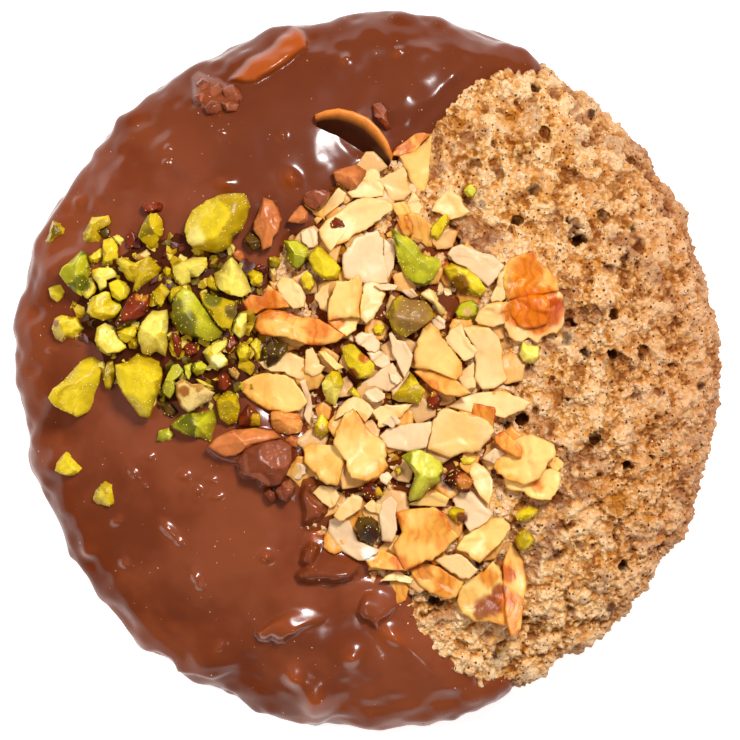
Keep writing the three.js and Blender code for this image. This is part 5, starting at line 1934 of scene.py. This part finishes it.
@dataclass(frozen=True)
class Toppings:
    """The larger nuts and flakes, each joined with those that lie on the same solid."""

    nut: NutShape = NutShape()
    kernel: NutShape = NutShape(cuts=1, small_cuts=3, sharpness=16.0, rough=0.08, shade=(0.1, 0.14, 0.3, 0.0))
    coated_nut: NutShape = NutShape(cuts=2, small_cuts=3, sharpness=14.0, rough=0.09)
    flake: FlakeShape = FlakeShape()
    rosette: FlakeShape = FlakeShape(fold=0.55, split=0.4, jag=0.16, grain=0.12)
    curled: CurledFlake = CurledFlake()
    # The bed flakes lie low in the heap and are darkened by their shade: painted shade
    bed_shape: FlakeShape = FlakeShape(
        steps=48,
        top_rings=(0.3, 0.6, 0.85, 0.96, 1.0),
        under_rings=(0.9,),
        split=0.1,
        tilt=24.0,
        shade=(0.86, 0.72, 0.5, 1.0),
    )
    bed_count: int = 90
    rosette_bed: float = 1.3
    on_crumb: float = 1.1
    crag_bed: float = 0.2
    dust: Strewn = Strewn("pistachio_dust", GrainForm.BALL, 0.9, 0.1, 0.24, seed=8, lowest_up=0.1)
    dust_finish: GrainFinish = GrainFinish(
        "pistachio_dust", ((250, 238, 180), (246, 226, 136), (236, 208, 92))
    )
    pistachio: NutFinish = NutFinish("pistachio", 0.12, (1.0, 0.9, 0.2))
    almond: NutFinish = NutFinish("almond", 0.06, (1.0, 0.7, 0.4), 0.34, 0.26, 0.6, ridges=0.3)
    coating: NutFinish = NutFinish("coated_nut", 0.12, (1.0, 0.5, 0.25), 0.26)

    def bed(self, mound: Mound | None, outline: Array) -> float:
        """The height of the heap or of the grains of crumb under a piece."""
        x, y = middle_of(outline)
        bare = self.on_crumb if COAT_EDGE.inside(np.array([x]), np.array([y]))[0] < 0 else 0.0
        return bare if mound is None else max(bare, float(mound.crown(x, y)) + GAP, GAP)

    def nuts(self, nuts: Iterable[Nut], mound: Mound | None) -> Patch:
        """Chopped nuts on a heap, or on what lies below."""
        return Patch.joined(self.nut.patch(nut, self.bed(mound, nut.outline)) for nut in nuts)

    def flakes(self, shape: FlakeShape, flakes: Iterable[Flake]) -> Patch:
        """Almond flakes on their heap."""
        return Patch.joined(shape.patch(flake, self.bed(ALMOND_MOUND, flake.outline)) for flake in flakes)

    def bed_flakes(self) -> list[Flake]:
        """Smaller broken flakes spread along a spiral over the almond heap, below the open ones."""
        looks = "CREAM WHITE GOLD CREAM WHITE GOLD CREAM TOASTED".split()
        middle, (wide, deep) = PHOTO.place(*ALMOND_MOUND.photo), ALMOND_MOUND.radii
        turn = math.radians(ALMOND_MOUND.turn)
        flakes = []
        for number in range(self.bed_count):
            away, angle = math.sqrt((number + 0.5) / self.bed_count), number * GOLDEN
            along, across = wide * away * math.cos(angle), deep * away * math.sin(angle)
            place = middle + [
                along * math.cos(turn) - across * math.sin(turn),
                along * math.sin(turn) + across * math.cos(turn),
            ]
            sides = 5 + int(3 * chance(number, 30))
            corner = np.arange(sides)
            facing = 2 * math.pi * (corner + 0.6 * chance(corner, number, 31)) / sides
            reach = (1.5 + 1.4 * chance(number, 32)) * (0.6 + 0.6 * chance(corner, number, 33))
            outline = place + np.column_stack([reach * np.cos(facing), reach * np.sin(facing)])
            look = AlmondLook[looks[int(chance(number, 34) * len(looks))]]
            flakes.append(Flake(0.7 * chance(number, 35) - 1.4, look, outline))
        return flakes

    def build(self) -> None:
        """Makes every group of nuts and flakes."""
        green, cream, dusty = self.pistachio.material(), self.almond.material(), self.dust_finish.material()
        groups = (
            ("pistachios", self.nuts(HEAP_NUTS, PISTACHIO_MOUND), "pistachio_heap"),
            ("pistachio_half", self.kernel.patch(KERNEL, GAP), "pistachio_kernel"),
            ("pistachios_among_almonds", self.nuts(NUTS_AMONG_ALMONDS, ALMOND_MOUND), "almond_heap"),
            ("pistachios_on_chocolate", self.nuts(NUTS_ON_CHOCOLATE, None), "chocolate"),
            ("pistachios_on_crumb", self.nuts(NUTS_ON_CRUMB, None), "biscuit"),
        )
        for name, patch, node in groups:
            add_piece(patch.build(name, green), "pistachio", node)
            dust = self.dust.over(patch, dusty)
            dust.name = f"{name}_dust"
            add_piece(dust, "pistachio", node)
        brown = self.coating.material()
        add_piece(self.curled.patch().build("standing_flake", brown), "chocolate", "chocolate")
        coated = [self.coated_nut.patch(nut, 0.0) for nut in (*COATED_NUTS, ALMOND_ON_CHOCOLATE)]
        coated += [self.coated_nut.patch(nut, self.crag_bed) for nut in CRAGS]
        add_piece(Patch.joined(coated).build("coated_nuts", brown), "chocolate", "chocolate")
        flakes = self.flakes(self.flake, (*FLAKES, *SMALL_FLAKES))
        add_piece(flakes.build("almond_flakes", cream), "almond", "almond_heap")
        bed = self.flakes(self.bed_shape, self.bed_flakes())
        add_piece(bed.build("almond_bed", cream), "almond", "almond_heap")
        rosettes = (("upper_almond_rosette", UPPER_ROSETTE), ("lower_almond_rosette", LOWER_ROSETTE))
        for name, flakes in rosettes:
            layers = Patch.joined(self.rosette.patch(flake, self.rosette_bed) for flake in flakes)
            add_piece(layers.build(f"{name}_flake", cream), "almond", name)


class Lamp(NamedTuple):
    """A round soft box: name, place and size in metres, power in watts, and whether it is mirrored."""

    name: str
    place: tuple[float, float, float]
    size: float
    power: float
    mirrored: bool = True


@dataclass(frozen=True)
class Studio:
    """A pale floor, soft boxes round the biscuit, and a camera that looks straight down."""

    floor_size: float = 4.0
    floor: PlainFinish = PlainFinish("floor", (248, 248, 248), 0.9, 0.8)
    distance: float = 2.6
    level: float = 0.01
    sensor: float = 36.0
    lamps: tuple[Lamp, ...] = (
        Lamp("key", (0.3, 0.5, 0.95), 0.26, 12.5),
        Lamp("left", (-0.6, 0.2, 0.9), 0.5, 3.2, mirrored=False),
        Lamp("front", (0.25, -0.55, 0.9), 0.15, 0.9),
    )
    sky: float = 0.25

    def build(self) -> None:
        """Makes the floor, the light and the camera."""
        half = self.floor_size / 2
        mesh = bpy.data.meshes.new("floor")
        corners = [(-half, -half, 0), (half, -half, 0), (half, half, 0), (-half, half, 0)]
        mesh.from_pydata(corners, [], [(0, 1, 2, 3)])
        mesh.materials.append(self.floor.material())
        add_object("floor", mesh)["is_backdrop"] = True
        self.light()
        self.camera()

    def light(self) -> None:
        """The soft boxes, all aimed at the biscuit, and a dim white sky."""
        for lamp in self.lamps:
            light = bpy.data.lights.new(lamp.name, "AREA")
            light.shape = "DISK"
            light.size = lamp.size
            light.energy = lamp.power
            box = add_object(lamp.name, light)
            box.visible_glossy = lamp.mirrored
            box.location = lamp.place
            box.rotation_mode = "QUATERNION"
            box.rotation_quaternion = (-box.location).to_track_quat("-Z", "Y")
        world = bpy.data.worlds.new("sky")
        world.use_nodes = True
        background = world.node_tree.nodes["Background"]
        background.inputs["Color"].default_value = (1.0, 1.0, 1.0, 1.0)
        background.inputs["Strength"].default_value = self.sky
        bpy.context.scene.world = world

    def camera(self) -> None:
        """A long lens straight above, framed like the photograph."""
        data = bpy.data.cameras.new("camera")
        data.sensor_width = self.sensor
        field_width = PHOTO.width * PHOTO.scale * METRES
        data.lens = self.sensor * (self.distance - self.level) / field_width
        data.clip_end = 10.0
        camera = add_object("camera", data)
        camera.location = (0.0, 0.0, self.distance)
        bpy.context.scene.camera = camera
        bpy.context.scene.view_settings.view_transform = "Standard"


@dataclass(frozen=True)
class Lebkuchen:
    """The whole biscuit and its studio."""

    crumb: Crumb = Crumb()
    chocolate: Chocolate = Chocolate()
    pistachio_heap: Heap = Heap(
        "pistachio",
        PISTACHIO_MOUND,
        PlainFinish("heap_shade", (72, 29, 10), 0.3),
        Strewn("pistachio_grains", GrainForm.SHARD, 0.5, 0.6, 1.8, seed=3, thick=0.7, lean=0.9),
        GrainFinish(
            "pistachio_grains",
            ((214, 182, 26), (166, 132, 4), (236, 212, 96), (100, 78, 4), (84, 24, 6), (196, 158, 8)),
        ),
    )
    almond_heap: Heap = Heap(
        "almond",
        ALMOND_MOUND,
        PlainFinish("almond_shade", (106, 45, 5), 0.6),
        Strewn("almond_grains", GrainForm.SHARD, 0.65, 0.5, 1.5, seed=4, thick=0.4, lean=0.5),
        GrainFinish(
            "almond_grains",
            ((236, 196, 130), (234, 208, 170), (226, 168, 70), (238, 200, 136), (180, 116, 14), (120, 48, 8)),
        ),
    )
    toppings: Toppings = Toppings()
    studio: Studio = Studio()

    def build(self) -> None:
        """Makes every piece, then the studio round it."""
        self.crumb.build()
        self.chocolate.build()
        self.pistachio_heap.build("pistachio", "pistachio_heap")
        self.almond_heap.build("almond", "almond_heap")
        self.toppings.build()
        self.studio.build()


def corners() -> list[list[float]]:
    """The lowest and highest corner of what is shown, in metres."""
    return [list(corner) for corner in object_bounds()]


def main() -> None:
    """Builds the biscuit."""
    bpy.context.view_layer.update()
    Lebkuchen().build()


if __name__ == "__main__":
    main()
